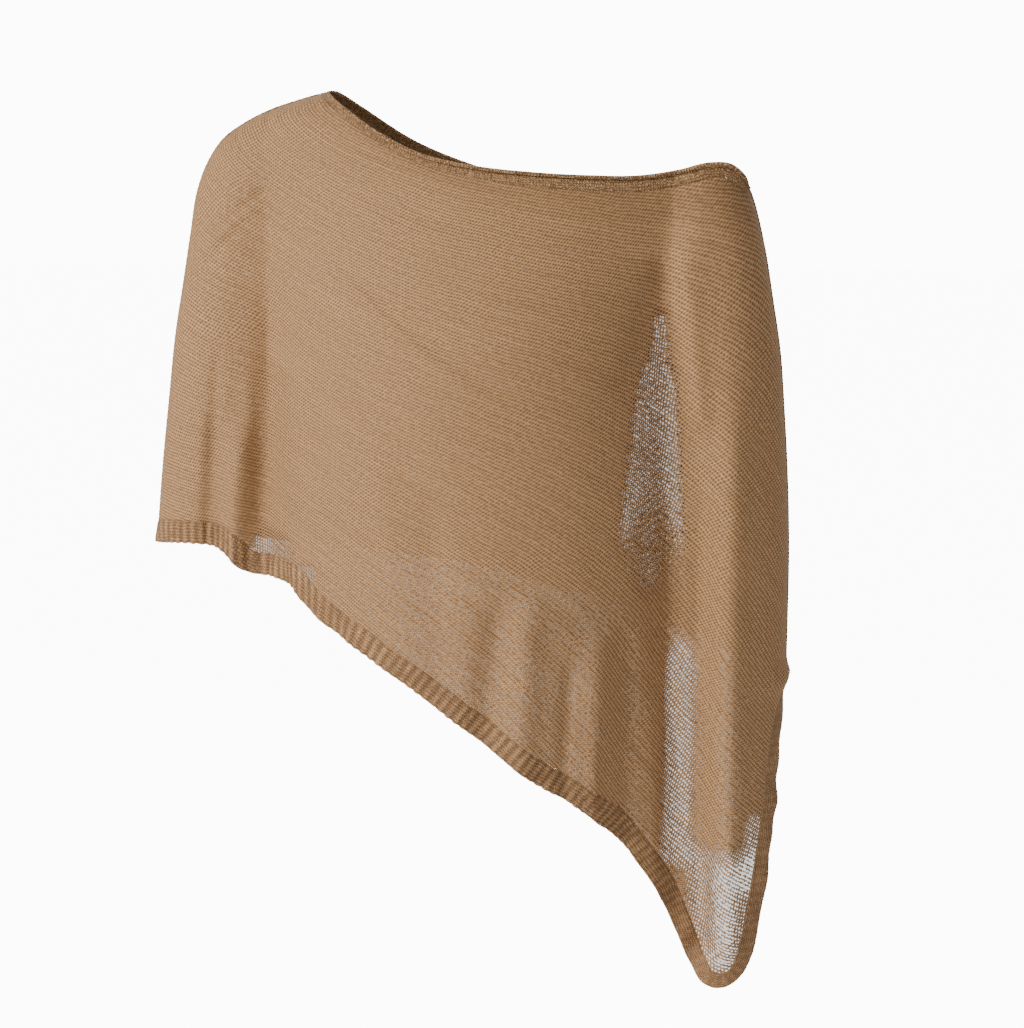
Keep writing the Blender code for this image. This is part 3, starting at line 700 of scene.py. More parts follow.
@dataclass
class Sketch:
    """A small helper that adds shader nodes and joins them."""

    material: bpy.types.Material | bpy.types.World

    @classmethod
    def start(cls, name: str) -> "Sketch":
        """Return a sketch of a new material with a Principled shader."""
        material = bpy.data.materials.new(name)
        material.use_nodes = True
        return cls(material)

    @property
    def shader(self) -> bpy.types.Node:
        """Return the Principled shader."""
        return self.material.node_tree.nodes["Principled BSDF"]

    def node(self, kind: str, **settings: object) -> bpy.types.Node:
        """Return a new node of a kind, with its properties set."""
        node = self.material.node_tree.nodes.new(kind)
        for name, value in settings.items():
            setattr(node, name, value)
        return node

    def join(self, source: bpy.types.NodeSocket, target: bpy.types.NodeSocket) -> None:
        """Link two sockets."""
        self.material.node_tree.links.new(source, target)

    def feed(self, slots: Iterable[bpy.types.NodeSocket], values: Iterable[object]) -> None:
        """Give each slot its value, a number, a colour or a socket to join."""
        for slot, value in zip(slots, values):
            if isinstance(value, bpy.types.NodeSocket):
                self.join(value, slot)
            else:
                slot.default_value = value

    def math(self, operation: str, *values: object) -> bpy.types.NodeSocket:
        """Return the result of a Math node of numbers or sockets."""
        node = self.node("ShaderNodeMath", operation=operation)
        self.feed(node.inputs, values)
        return node.outputs[0]

    def scaled(self, value: bpy.types.NodeSocket, factor: object,
               offset: object) -> bpy.types.NodeSocket:
        """Return a value times a factor, plus an offset."""
        return self.math("MULTIPLY_ADD", value, factor, offset)

    def stitches(self, name: str = "stitches") -> tuple:
        """Return the sockets of a UV map's two directions."""
        split = self.node("ShaderNodeSeparateXYZ")
        self.join(self.node("ShaderNodeUVMap", uv_map=name).outputs[0], split.inputs[0])
        return split.outputs[0], split.outputs[1]

    def wave(self, phase: bpy.types.NodeSocket) -> bpy.types.NodeSocket:
        """Return 1 at whole turns of a phase and 0 half way between them."""
        turned = self.math("MULTIPLY", phase, 2 * math.pi)
        return self.scaled(self.math("COSINE", turned), 0.5, 0.5)

    def loops(self, wale: bpy.types.NodeSocket, course: bpy.types.NodeSocket,
              slant: float) -> tuple:
        """Work out a knit's relief from its counts.

        Args:
            wale: The count of wales.
            course: The count of courses.
            slant: How far each loop swings out of its course.

        Returns:
            The sockets of the courses' ridges and of the loops along them.
        """
        swing = self.math("SINE", self.math("MULTIPLY", wale, 2 * math.pi))
        return self.wave(self.scaled(swing, slant, course)), self.wave(wale)

    def rise(self, value: bpy.types.NodeSocket, low: float, high: float) -> bpy.types.NodeSocket:
        """Return a smooth rise from 0 at low to 1 at high."""
        node = self.node("ShaderNodeMapRange", interpolation_type="SMOOTHSTEP")
        self.feed(node.inputs, (value, low, high))
        return node.outputs[0]

    def noise(self, vector: object, scale: float, detail: float = 2.0) -> bpy.types.NodeSocket:
        """Return a noise value about a half, over a vector socket or the object's own space."""
        node = self.node("ShaderNodeTexNoise")
        source = vector or self.node("ShaderNodeTexCoord").outputs["Object"]
        slots = (node.inputs[name] for name in ("Vector", "Scale", "Detail"))
        self.feed(slots, (source, scale, detail))
        return node.outputs["Fac"]

    def pair(self, across: object, down: object) -> bpy.types.NodeSocket:
        """Return a vector of two values."""
        node = self.node("ShaderNodeCombineXYZ")
        self.feed(node.inputs, (across, down))
        return node.outputs[0]

    def color(self, share: bpy.types.NodeSocket, dark: tuple, light: tuple) -> None:
        """Color the surface between two colors, by share."""
        node = self.node("ShaderNodeMix", data_type="RGBA")
        slots = (node.inputs[index] for index in (0, 6, 7))
        self.feed(slots, (share, (*dark, 1.0), (*light, 1.0)))
        self.join(node.outputs[2], self.shader.inputs["Base Color"])

    def bump(self, height: bpy.types.NodeSocket, distance: float, strength: float) -> None:
        """Raise the surface by a height."""
        node = self.node("ShaderNodeBump")
        slots = (node.inputs[name] for name in ("Height", "Distance", "Strength"))
        self.feed(slots, (height, distance, strength))
        self.join(node.outputs[0], self.shader.inputs["Normal"])

    def pierce(self, hole: bpy.types.NodeSocket) -> None:
        """Let light through where a value is 1."""
        self.join(self.math("SUBTRACT", 1.0, hole), self.shader.inputs["Alpha"])

    def fuzz(self, roughness: float) -> None:
        """Give the surface the soft sheen of yarn."""
        values = {
            "Roughness": roughness,
            "Sheen Weight": 0.15,
            "Sheen Roughness": 0.5,
            "Sheen Tint": (0.9, 0.72, 0.5, 1.0),
            "Specular IOR Level": 0.25,
        }
        for name, value in values.items():
            self.shader.inputs[name].default_value = value


@dataclass(frozen=True)
class SheerKnit:
    """Fine openwork knit: rows of small slanting loops with a pinhole between neighbours."""

    # Yarn tones: light is the lit yarn, dark the painted shade in the gaps between loops; the
    # random tone also mixes between them
    light: tuple[float, float, float] = (0.56, 0.318, 0.150)
    dark: tuple[float, float, float] = (0.165, 0.082, 0.034)
    hole_start: float = 0.46
    hole_full: float = 0.66
    loop_slant: float = 0.10
    lean: float = 0.5             # wales that the loops lean over in each course
    drift_scale: float = 22.0
    drift_wales: float = 4.0
    drift_courses: float = 1.6
    sway_scale: float = 75.0
    sway_courses: float = 0.6
    patch_scale: float = 11.0
    row_scale: float = 0.9
    row_stretch: float = 0.03     # wales against courses in the rows' noise
    closeness: float = 0.0        # how much smaller the pinholes are
    stretch: float = 0.48         # how much larger they are in the open places
    neck_closeness: float = 0.25
    neck_share: float = 0.10
    neck_dark: float = 0.12
    # how much darker the yarn is drawn in the open places: painted shade of threads seen against
    # the light
    open_painted_shade: float = 0.08
    bump_height: float = 0.0005
    bump_strength: float = 0.8
    roughness: float = 0.78

    def material(self, name: str) -> bpy.types.Material:
        """Return the knit as a material, over the counts in the UV map named loops."""
        sketch = Sketch.start(name)
        near_neck = sketch.rise(sketch.stitches()[1], self.neck_share, 0.0)
        opened = sketch.stitches("opened")[0]
        wale, course = self.counts(sketch)
        ridge, loop = sketch.loops(wale, course, self.loop_slant)
        raised = sketch.scaled(ridge, 0.72, 0.28)
        height = sketch.math("MULTIPLY", raised, sketch.scaled(loop, 0.60, 0.40))
        stretched = sketch.pair(sketch.math("MULTIPLY", wale, self.row_stretch), course)
        row = sketch.noise(stretched, self.row_scale, 1.0)
        fine = sketch.noise(sketch.pair(wale, course), self.row_scale, 1.0)
        tied = sketch.scaled(opened, 0.10, -0.85)
        between = sketch.math("SUBTRACT", 1.0, ridge)
        opening = sketch.math("MULTIPLY", between, sketch.scaled(loop, tied, 1.0))
        shift = self.shift(sketch, row, fine, opened)
        shift = sketch.scaled(near_neck, -self.neck_closeness, shift)
        hole = sketch.rise(sketch.math("ADD", opening, shift), self.hole_start, self.hole_full)
        sketch.pierce(hole)
        # Darker where the loops sink: painted shade in the gaps between stitches, with random tone
        # by row and by loop
        tone = sketch.scaled(height, 0.74, sketch.scaled(row, 0.30, -0.11))
        tone = sketch.math("ADD", tone, sketch.scaled(fine, 0.60, -0.24))
        tone = sketch.scaled(near_neck, -self.neck_dark, tone)
        # Painted shade: the yarn is drawn darker in the open places, as threads seen against the
        # light behind them
        tone = sketch.scaled(opened, -self.open_painted_shade, tone)
        sketch.color(sketch.rise(tone, 0.0, 1.0), self.dark, self.light)
        sketch.bump(height, self.bump_height, self.bump_strength)
        sketch.fuzz(self.roughness)
        return sketch.material

    def counts(self, sketch: Sketch) -> tuple:
        """Return the counts of wales and courses, with the unevenness of handwork."""
        wale, course = sketch.stitches("loops")
        drift = sketch.noise(None, self.drift_scale)
        sway = sketch.math("MULTIPLY", sketch.noise(None, self.sway_scale), self.sway_courses)
        wale = sketch.scaled(drift, self.drift_wales, wale)
        course = sketch.math("ADD", sketch.scaled(drift, self.drift_courses, course), sway)
        return sketch.scaled(course, self.lean, wale), course

    def shift(self, sketch: Sketch, row: bpy.types.NodeSocket, fine: bpy.types.NodeSocket,
              opened: bpy.types.NodeSocket) -> bpy.types.NodeSocket:
        """Work out how much wider the pinholes are than the plain knit's.

        Args:
            sketch: The nodes to add to.
            row: Noise along the courses.
            fine: Noise from loop to loop.
            opened: How far open the knit is stretched.

        Returns:
            The shift's socket.
        """
        patch = sketch.noise(None, self.patch_scale)
        rough = sketch.scaled(opened, 0.35, 0.60)
        shift = sketch.math("MULTIPLY", sketch.math("SUBTRACT", fine, 0.5), rough)
        shift = sketch.math("SUBTRACT", shift, self.closeness)
        shift = sketch.math("ADD", shift, sketch.scaled(row, 0.30, -0.15))
        shift = sketch.math("ADD", shift, sketch.scaled(patch, 0.20, -0.10))
        return sketch.scaled(opened, self.stretch, shift)


@dataclass(frozen=True)
class RibKnit:
    """Ribbed border knit: close loops over two raised and two sunk wales a rib, painted lighter on
    the rib tops and darker in the valleys.
    """

    ribs: int
    courses: float = 7.5
    wales: float = 4.0
    # light is the lit yarn, dark the painted shade of the rib valleys and of the gaps between
    # loops
    light: tuple[float, float, float] = (0.56, 0.318, 0.152)
    dark: tuple[float, float, float] = (0.145, 0.072, 0.030)
    loop_slant: float = 0.16
    lean: float = 0.5
    sway_scale: float = 110.0
    sway_courses: float = 1.6
    fine_scale: float = 480.0
    patch_wales: float = 0.35
    mid_rib: float = 0.62         # a rib's tone where the painted shade of its valleys doesn't show
    hole_start: float = 0.80
    hole_full: float = 1.05
    bump_height: float = 0.0005
    bump_strength: float = 0.8
    roughness: float = 0.82

    def material(self, name: str) -> bpy.types.Material:
        """Return the ribbed knit as a material, over the UV maps named stitches and clear."""
        sketch = Sketch.start(name)
        u, v = sketch.stitches()
        clear = sketch.stitches("clear")[0]
        rib = sketch.math("MULTIPLY", u, float(self.ribs))
        # Painted highlight and shade: lighter on the rib tops and darker in the valleys, faded out
        # by the map named clear
        top = sketch.math("SUBTRACT", 1.0, sketch.wave(rib))
        top = sketch.scaled(sketch.math("SUBTRACT", top, self.mid_rib), clear, self.mid_rib)
        sway = sketch.noise(None, self.sway_scale)
        fine = sketch.noise(None, self.fine_scale)
        course = sketch.scaled(v, self.courses, sketch.math("MULTIPLY", sway, self.sway_courses))
        wale = sketch.math("ADD", sketch.math("MULTIPLY", rib, self.wales), sway)
        wale = sketch.scaled(course, self.lean, wale)
        ridge, loop = sketch.loops(wale, course, self.loop_slant)
        height = sketch.math("MULTIPLY", ridge, sketch.scaled(loop, 0.6, 0.4))
        patch = sketch.noise(sketch.pair(sketch.math("MULTIPLY", rib, self.patch_wales), v), 1.0)
        depth = sketch.math("MULTIPLY", top, sketch.scaled(patch, 0.9, -0.10))
        # Painted shade between the loops, plus random tone
        tone = sketch.scaled(depth, 0.95, sketch.math("MULTIPLY", height, 0.55))
        tone = sketch.math("ADD", tone, sketch.scaled(fine, 0.70, -0.38))
        sketch.color(sketch.rise(tone, 0.0, 1.05), self.dark, self.light)
        between = (sketch.math("SUBTRACT", 1.0, value) for value in (ridge, loop))
        gap = sketch.math("ADD", sketch.math("MULTIPLY", *between), sketch.scaled(fine, 0.4, -0.2))
        sketch.pierce(sketch.rise(gap, self.hole_start, self.hole_full))
        sketch.bump(height, self.bump_height, self.bump_strength)
        sketch.fuzz(self.roughness)
        return sketch.material


@dataclass(frozen=True)
class RollKnit:
    """Dense knit of the neck border: close, uneven small loops."""

    courses: float = 7.0
    wales: float = 190.0
    # light is the lit yarn, dark the painted shade between its loops
    light: tuple[float, float, float] = (0.50, 0.285, 0.132)
    dark: tuple[float, float, float] = (0.095, 0.048, 0.020)
    loop_slant: float = 0.22
    sway_scale: float = 120.0
    sway_wales: float = 2.6
    sway_courses: float = 1.9
    fine_scale: float = 460.0
    bump_height: float = 0.0006
    bump_strength: float = 0.9
    roughness: float = 0.85

    def material(self, name: str) -> bpy.types.Material:
        """Return the dense knit as a material, over the UV map named stitches."""
        sketch = Sketch.start(name)
        u, v = sketch.stitches()
        sway = sketch.noise(None, self.sway_scale)
        wale = sketch.scaled(u, self.wales, sketch.math("MULTIPLY", sway, self.sway_wales))
        course = sketch.scaled(v, self.courses, sketch.math("MULTIPLY", sway, self.sway_courses))
        ridge, loop = sketch.loops(wale, course, self.loop_slant)
        height = sketch.math("MULTIPLY", ridge, sketch.scaled(loop, 0.65, 0.35))
        fine = sketch.noise(None, self.fine_scale, 1.0)
        # Darker where the loops sink: painted shade between stitches, with random tone
        tone = sketch.scaled(fine, 1.0, sketch.scaled(height, 0.80, -0.36))
        sketch.color(sketch.rise(tone, 0.0, 1.0), self.dark, self.light)
        sketch.bump(height, self.bump_height, self.bump_strength)
        sketch.fuzz(self.roughness)
        return sketch.material


@dataclass(frozen=True)
class SeamYarn:
    """Yarn of the linked side seams."""

    # light is the lit yarn, dark the painted shade between its plies and the dark end of its
    # mottle
    light: tuple[float, float, float] = (0.50, 0.29, 0.15)
    dark: tuple[float, float, float] = (0.18, 0.09, 0.04)
    plies: float = 900.0
    turns: float = 3.0
    mottle_scale: float = 200.0
    bump_height: float = 0.0002
    bump_strength: float = 0.6
    roughness: float = 0.8

    def material(self, name: str) -> bpy.types.Material:
        """Return the yarn as a material, over the UV map named stitches."""
        sketch = Sketch.start(name)
        u, v = sketch.stitches()
        ply = sketch.wave(sketch.scaled(u, self.plies, sketch.math("MULTIPLY", v, self.turns)))
        mottle = sketch.noise(None, self.mottle_scale)
        # Darker between the plies: painted shade in the twist's grooves, mottled at random
        tone = sketch.scaled(mottle, 0.5, sketch.math("MULTIPLY", ply, 0.5))
        sketch.color(tone, self.dark, self.light)
        sketch.bump(ply, self.bump_height, self.bump_strength)
        sketch.fuzz(self.roughness)
        return sketch.material


def grid_mesh(name: str, points: np.ndarray, uv: np.ndarray, flip: bool,
              **maps: np.ndarray) -> bpy.types.Object:
    """Make an open grid of faces with a UV map named stitches, and any others by their names.

    Args:
        name: The object's name.
        points: Rows and columns of points.
        uv: Rows and columns of UV places, from 0 to 1.
        flip: Whether the faces turn the other way.
        maps: Rows and columns of pairs of values, for each further map.

    Returns:
        The new object, linked to the scene.
    """
    rows, columns = points.shape[:2]
    index = np.arange(rows * columns).reshape(rows, columns)
    quads = np.stack((index[:-1, :-1], index[1:, :-1], index[1:, 1:], index[:-1, 1:]), -1)
    quads = quads.reshape(-1, 4)
    quads = quads[:, ::-1] if flip else quads
    mesh = bpy.data.meshes.new(name)
    mesh.from_pydata(points.reshape(-1, 3).tolist(), [], quads.tolist())
    for layer_name, values in {"stitches": uv, **maps}.items():
        layer = mesh.uv_layers.new(name=layer_name)
        layer.data.foreach_set("uv", values.reshape(-1, 2)[quads.ravel()].ravel())
    mesh.shade_smooth()
    piece = bpy.data.objects.new(name, mesh)
    bpy.context.scene.collection.objects.link(piece)
    return piece


def thicken(piece: bpy.types.Object, wall: float) -> None:
    """Give a sheet a thin wall on its inner side."""
    shell = piece.modifiers.new("wall", "SOLIDIFY")
    shell.thickness = wall
    shell.offset = -1.0


def cloth_area(points: np.ndarray) -> float:
    """Return the area of a grid of points, in square metres."""
    down = points[1:, :-1] - points[:-1, :-1]
    across = points[:-1, 1:] - points[:-1, :-1]
    return float(np.linalg.norm(np.cross(down, across), axis=2).sum())


@dataclass
class Panel:
    """One shaped knit panel, from the neck border's seam to the hem's."""

    borders: Borders
    finish: SheerKnit
    rows: int = 170
    arm_columns: int = 34
    middle_columns: int = 150
    wall: float = 0.0006
    opening_rows: float = 0.09
    behind: tuple[float, float] = (0.0084, 0.0264)
    spreading: float = 0.075
    opens: tuple[float, float] = (0.22, 0.58)
    opens_wide: tuple[float, float] = (1.0, 1.3)
    wide_share: float = 0.5

    @property
    def name(self) -> str:
        """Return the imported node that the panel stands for."""
        return f"{self.borders.face.value}_panel"

    def shares(self, opening: float) -> np.ndarray:
        """Return shares of a row where columns stand, crowded round each arm it wraps."""
        radius = RIGHT_ARM_SIDE[-1].radius
        width = LEFT_ARM_SIDE[-1].x - RIGHT_ARM_SIDE[-1].x
        angles = np.linspace(0, math.pi / 2, self.arm_columns)
        ends = radius * (1 - np.cos(angles)) / width
        middle = np.linspace(ends[-1], 1 - ends[-1], self.middle_columns + 1)[1:-1]
        closed = np.concatenate((ends, middle, 1 - ends[::-1]))
        spread = np.linspace(ends[-1], 1, len(closed) - len(ends) + 1)[1:]
        return closed + (np.concatenate((ends, spread)) - closed) * opening

    def net(self) -> tuple[np.ndarray, np.ndarray]:
        """Lay out the panel's rows between its borders.

        Returns:
            Places in x and z by row and column, and each row's share of the way down.
        """
        borders = self.borders
        drape = borders.drape
        neck, hem = borders.neck_seam, borders.hem_seam[:borders.point + 1]
        steps, down = np.linspace(0, 1, LINE_STEPS), np.linspace(0, 1, self.rows)
        if borders.face is Face.FRONT:
            above = borders.side(drape.left, neck[-1, 1], SEAM_FOOT, steps)
            left_line = np.vstack((above, borders.hem_seam[borders.point:][::-1][1:]))
            foot = lengths(above)[-1] / lengths(left_line)[-1]
        else:
            left_line = borders.side(drape.left, neck[-1, 1], hem[-1, 1], steps)
            foot = math.inf
        left = along(left_line, down)
        right = borders.side(drape.right, neck[0, 1], hem[0, 1], down)
        rows = []
        for v, right_end, left_end in zip(down, right, left):
            opening = ramp((v - foot) / self.opening_rows, 0.0, 1.0)
            u = self.shares(opening)[:, None]
            corners = ((1 - v) * ((1 - u) * neck[0] + u * neck[-1])
                       + v * ((1 - u) * hem[0] + u * hem[-1]))
            row = (1 - v) * along(neck, u[:, 0]) + v * along(hem, u[:, 0])
            row = row + (1 - u) * right_end + u * left_end - corners
            row[0], row[-1] = right_end, left_end
            rows.append(row)
        return np.array(rows), down

    def build(self) -> bpy.types.Object:
        places, down = self.net()
        drape, face = self.borders.drape, self.borders.face
        points = drape.cloth(places, face)
        run = row_lengths(points)
        uv = np.stack((run / run[:, -1:], np.repeat(down[:, None], run.shape[1], 1)), -1)
        flat = places.reshape(-1, 2)
        opened = self.opened(flat)
        piece = grid_mesh(
            self.name + "_cloth", points, uv, flip=face is Face.BACK,
            loops=CourseField(drape, face).counts(flat),
            opened=np.column_stack((opened, 0 * opened)),
        )
        thicken(piece, self.wall)
        piece.data.materials.append(self.finish.material(f"{face.value}_sheer_knit"))
        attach(piece, BODY)
        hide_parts(self.name)
        self.area = cloth_area(points)
        self.width = float(run[:, -1].max())
        self.drop = float(lengths(points[:, -1])[-1])
        LOG.info("%s: %.3f m2, %.3f m wide, %.3f m down",
                 piece.name, self.area, self.width, self.drop)
        return piece

    def opened(self, flat: np.ndarray) -> np.ndarray:
        """Work out how far open the knit is stretched.

        The back's open places are moved so that they line up with the front's from the camera.

        Args:
            flat: Rows of x and z.

        Returns:
            0 where the knit is plain, 1 where it is open and more where it is wide open.
        """
        spots = OPEN_PLACES
        if self.borders.face is Face.BACK:
            spots = [spot for spot in spots if spot.name.startswith("beside")]
            flat = flat + self.behind + self.spreading * (VIEW_MIDDLE - flat)
        total = self.borders.drape.soft_sum(flat, spots)
        return ramp(total, *self.opens) + self.wide_share * ramp(total, *self.opens_wide)


@dataclass
class RibbedHem:
    """The ribbed border of one hem, with a relief of ribs square to its edge."""

    borders: Borders
    rib_pitch: float = 0.0073
    columns_per_rib: int = 8
    rows: int = 14
    row_bias: float = 0.9
    wall: float = 0.0009
    rib_height: float = 0.0010
    scallop: float = 0.0008
    flute: float = 0.0014
    hung_to: tuple[float, float] = (0.020, 0.090)
    hung_reach: float = 0.110     # x up to which the seam is looked for
    faded: tuple[float, float] = (0.180, 0.340)
    fade: float = 0.70
    thinnest: float = 0.00002     # width at which the band ends, at the seam's foot
    end_taper: float = 0.012
    top_rows: float = 0.2         # share of the band over which the ribs rise
    edge_rows: float = 0.8        # share of the band from which they sink again
    edge_sink: float = 0.55

    @property
    def name(self) -> str:
        """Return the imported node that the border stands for."""
        return f"hem_rib_{self.borders.face.value}"

    def hung(self, outer: np.ndarray, inner: np.ndarray, where: np.ndarray) -> np.ndarray:
        """Return the seam's place for each rib column: straight above it near the right arm."""
        x = read(outer, where)[:, 0]
        count = np.searchsorted(inner[:, 0], self.hung_reach)
        square = ramp(x, *self.hung_to)
        return where * square + np.interp(x, inner[:count, 0], np.arange(count)) * (1 - square)

    def build(self) -> bpy.types.Object:
        """Make and dress the border."""
        borders, drape, face = self.borders, self.borders.drape, self.borders.face
        outer, inner = borders.hem, borders.hem_seam
        run = lengths((drape.cloth(outer, face) + drape.cloth(inner, face)) / 2)
        ribs = round(run[-1] / self.rib_pitch)
        stops = np.linspace(0, run[-1], ribs * self.columns_per_rib + 1)
        where = np.interp(stops, run, np.arange(len(run)))
        free, seam = read(outer, where), read(inner, self.hung(outer, inner, where))
        if face is Face.FRONT:
            keep = np.linalg.norm(free - seam, axis=1) > self.thinnest
            keep[:len(keep) // 2] = True
            free, seam, stops = free[keep], seam[keep], stops[keep]
        down = np.linspace(0, 1, self.rows)[:, None] ** self.row_bias
        places = seam[None] * (1 - down[..., None]) + free[None] * down[..., None]
        places[:, 0] = borders.side(drape.right, seam[0, 1], free[0, 1], down[:, 0])
        if face is Face.BACK:
            places[:, -1] = borders.side(drape.left, seam[-1, 1], free[-1, 1], down[:, 0])
        share = stops / run[-1]
        # How clearly the ribs show: in their relief and in the material's painted rib shade
        clear = 1 - self.fade * ramp(free[:, 0], *self.faded)
        grid = self.relief(drape.cloth(places, face), down, stops, share * ribs, clear, run[-1])
        uv = np.stack(np.broadcast_arrays(share, down), -1)
        shown = np.stack(np.broadcast_arrays(clear, 0 * down), -1)
        piece = grid_mesh(self.name + "_cloth", grid, uv, flip=face is Face.BACK, clear=shown)
        thicken(piece, self.wall)
        piece.data.materials.append(RibKnit(ribs).material(f"{face.value}_rib_knit"))
        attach(piece, BODY)
        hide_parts(self.name)
        LOG.info("%s: %d ribs along %.3f m", piece.name, ribs, run[-1])
        return piece

    def relief(self, grid: np.ndarray, down: np.ndarray, stops: np.ndarray, phase: np.ndarray,
               clear: np.ndarray, length: float) -> np.ndarray:
        """Raise the ribs, sway the free edge and scallop it.

        Args:
            grid: Rows and columns of points, from the seam to the free edge.
            down: Each row's share of the way down.
            stops: Each column's length along the band.
            phase: Each column's count of ribs.
            clear: How clearly the ribs show in each column.
            length: The band's whole length.

        Returns:
            The grid with its relief.
        """
        normals = grid_normals(grid) * self.borders.face.toward
        strength = (0.62 + 0.38 * np.sin(phase * 0.83 + 2.3 * np.sin(phase * 0.31))) * clear
        ridge = (0.5 - 0.5 * np.cos(2 * math.pi * phase)) ** 0.8
        sunk = self.edge_sink * ramp(down, self.edge_rows, 1.0)
        profile = ramp(down, 0.0, self.top_rows) * (1 - sunk)
        wave = np.sin(stops * 118 + 2.1 * np.sin(stops * 31)) * np.sin(stops * 47 + 0.8)
        inward = ramp(np.minimum(stops, length - stops), 0.0, self.end_taper)
        lift = self.rib_height * ridge * strength * profile + self.flute * wave * down ** 2
        tips = unit(grid[-1] - grid[-2]) * (self.scallop * (ridge - 0.35) * strength)[:, None]
        return grid + normals * (lift * inward)[..., None] + tips[None] * (down ** 6)[..., None]


@dataclass
class NeckRoll:
    """The dense border of one neckline, whose edge rolls outwards."""

    borders: Borders
    columns: int = 520
    band_rows: int = 8
    roll_rows: int = 9
    wall: float = 0.0008
    swell: float = 0.0006
    roll_radius: float = 0.0010
    roll_turn: float = 1.35 * math.pi
    taper: tuple[float, float] = (0.002, 0.034)
    thinnest: float = 0.05        # share of the roll's radius that is left at its ends

    @property
    def name(self) -> str:
        """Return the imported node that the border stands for."""
        return f"neck_edge_{self.borders.face.value}"

    def build(self) -> bpy.types.Object:
        """Make and dress the border."""
        borders, drape, face = self.borders, self.borders.drape, self.borders.face
        where = np.linspace(0, len(borders.neck) - 1, self.columns)
        top, seam = read(borders.neck, where), read(borders.neck_seam, where)
        share = np.linspace(0, 1, self.band_rows)[:, None, None]
        places = seam[None] * (1 - share) + top[None] * share
        for end, line in ((0, drape.right), (-1, drape.left)):
            places[:, end] = borders.side(line, seam[end, 1], top[end, 1], share[:, 0, 0])
        band = drape.cloth(places, face)
        normals = -grid_normals(band) * face.toward
        up = unit(band[-1] - band[0])
        lean = unit(normals[-1] - up * (normals[-1] * up).sum(1)[:, None])
        band = band + normals * (self.swell * np.sin(math.pi * share))
        turns = np.linspace(0, self.roll_turn, self.roll_rows + 1)[1:]
        length = lengths(band[-1])
        taper = ramp(np.minimum(length, length[-1] - length), *self.taper)[:, None]
        radius = self.roll_radius * np.maximum(taper, self.thinnest)
        centre = band[-1] + lean * radius - up * radius / 2
        roll = [centre + radius * (up * math.sin(turn) - lean * math.cos(turn)) for turn in turns]
        grid = np.concatenate((band[:-1], np.array(roll)))
        run, steps = lengths(band[0]), lengths(grid[:, self.columns // 2])
        uv = np.stack(np.broadcast_arrays(run / run[-1], (steps / steps[-1])[:, None]), -1)
        piece = grid_mesh(self.name + "_cloth", grid, uv, flip=face is Face.FRONT)
        thicken(piece, self.wall)
        piece.data.materials.append(RollKnit().material(f"{face.value}_neck_knit"))
        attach(piece, BODY)
        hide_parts(self.name)
        LOG.info("%s: %.3f m along the neckline", piece.name, run[-1])
        return piece


@dataclass
class LinkedSeam:
    """A side seam: a fine chain of linking stitches where front and back meet."""

    name: str
    line: np.ndarray
    outward: int
    stitch: float = 0.0030
    radius: float = 0.0007
    pinch: float = 0.28           # share of the radius lost between stitches
    sway: float = 0.0004
    end_radius: float = 0.6       # share of the radius that is left at the ends
    end_taper: float = 0.012
    sunk: float = 0.6             # radii that the chain is set into the fold
    steps_per_stitch: int = 6
    sides: int = 8

    def build(self) -> bpy.types.Object:
        """Make and dress the chain."""
        path = np.column_stack((self.line[:, 0], -self.line[:, 2], self.line[:, 1]))
        run = lengths(path)
        count = round(run[-1] / self.stitch)
        stops = np.linspace(0, run[-1], count * self.steps_per_stitch + 1)
        centre = np.column_stack([np.interp(stops, run, axis) for axis in path.T])
        forward = unit(np.gradient(centre, axis=0))
        aside = np.broadcast_to(np.array((0.0, 1.0, 0.0)), forward.shape)
        out = unit(np.cross(aside, forward)) * self.outward
        phase = stops / run[-1] * count
        inward = ramp(np.minimum(stops, stops[-1] - stops), 0.0, self.end_taper)
        swell = 1 - self.pinch + self.pinch * np.abs(np.cos(math.pi * phase))
        swell *= self.end_radius + (1 - self.end_radius) * inward
        sway = self.sway * np.sin(math.pi * phase)
        centre = centre - out * self.radius * self.sunk + aside * sway[:, None]
        turns = np.linspace(0, 2 * math.pi, self.sides + 1)
        ring = [out * math.cos(turn) + aside * math.sin(turn) for turn in turns]
        grid = np.array([centre + part * (self.radius * swell)[:, None] for part in ring])
        uv = np.stack(np.broadcast_arrays(stops / run[-1], (turns / turns[-1])[:, None]), -1)
        piece = grid_mesh(self.name, grid, uv, flip=self.outward < 0)
        mesh = bmesh.new()
        mesh.from_mesh(piece.data)
        bmesh.ops.remove_doubles(mesh, verts=mesh.verts[:], dist=1e-6)
        bmesh.ops.recalc_face_normals(mesh, faces=mesh.faces[:])
        mesh.to_mesh(piece.data)
        mesh.free()
        piece.data.materials.append(SeamYarn().material(f"{self.name}_yarn"))
        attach(piece, BODY)
        LOG.info("%s: %d stitches along %.3f m", piece.name, count, run[-1])
        return piece


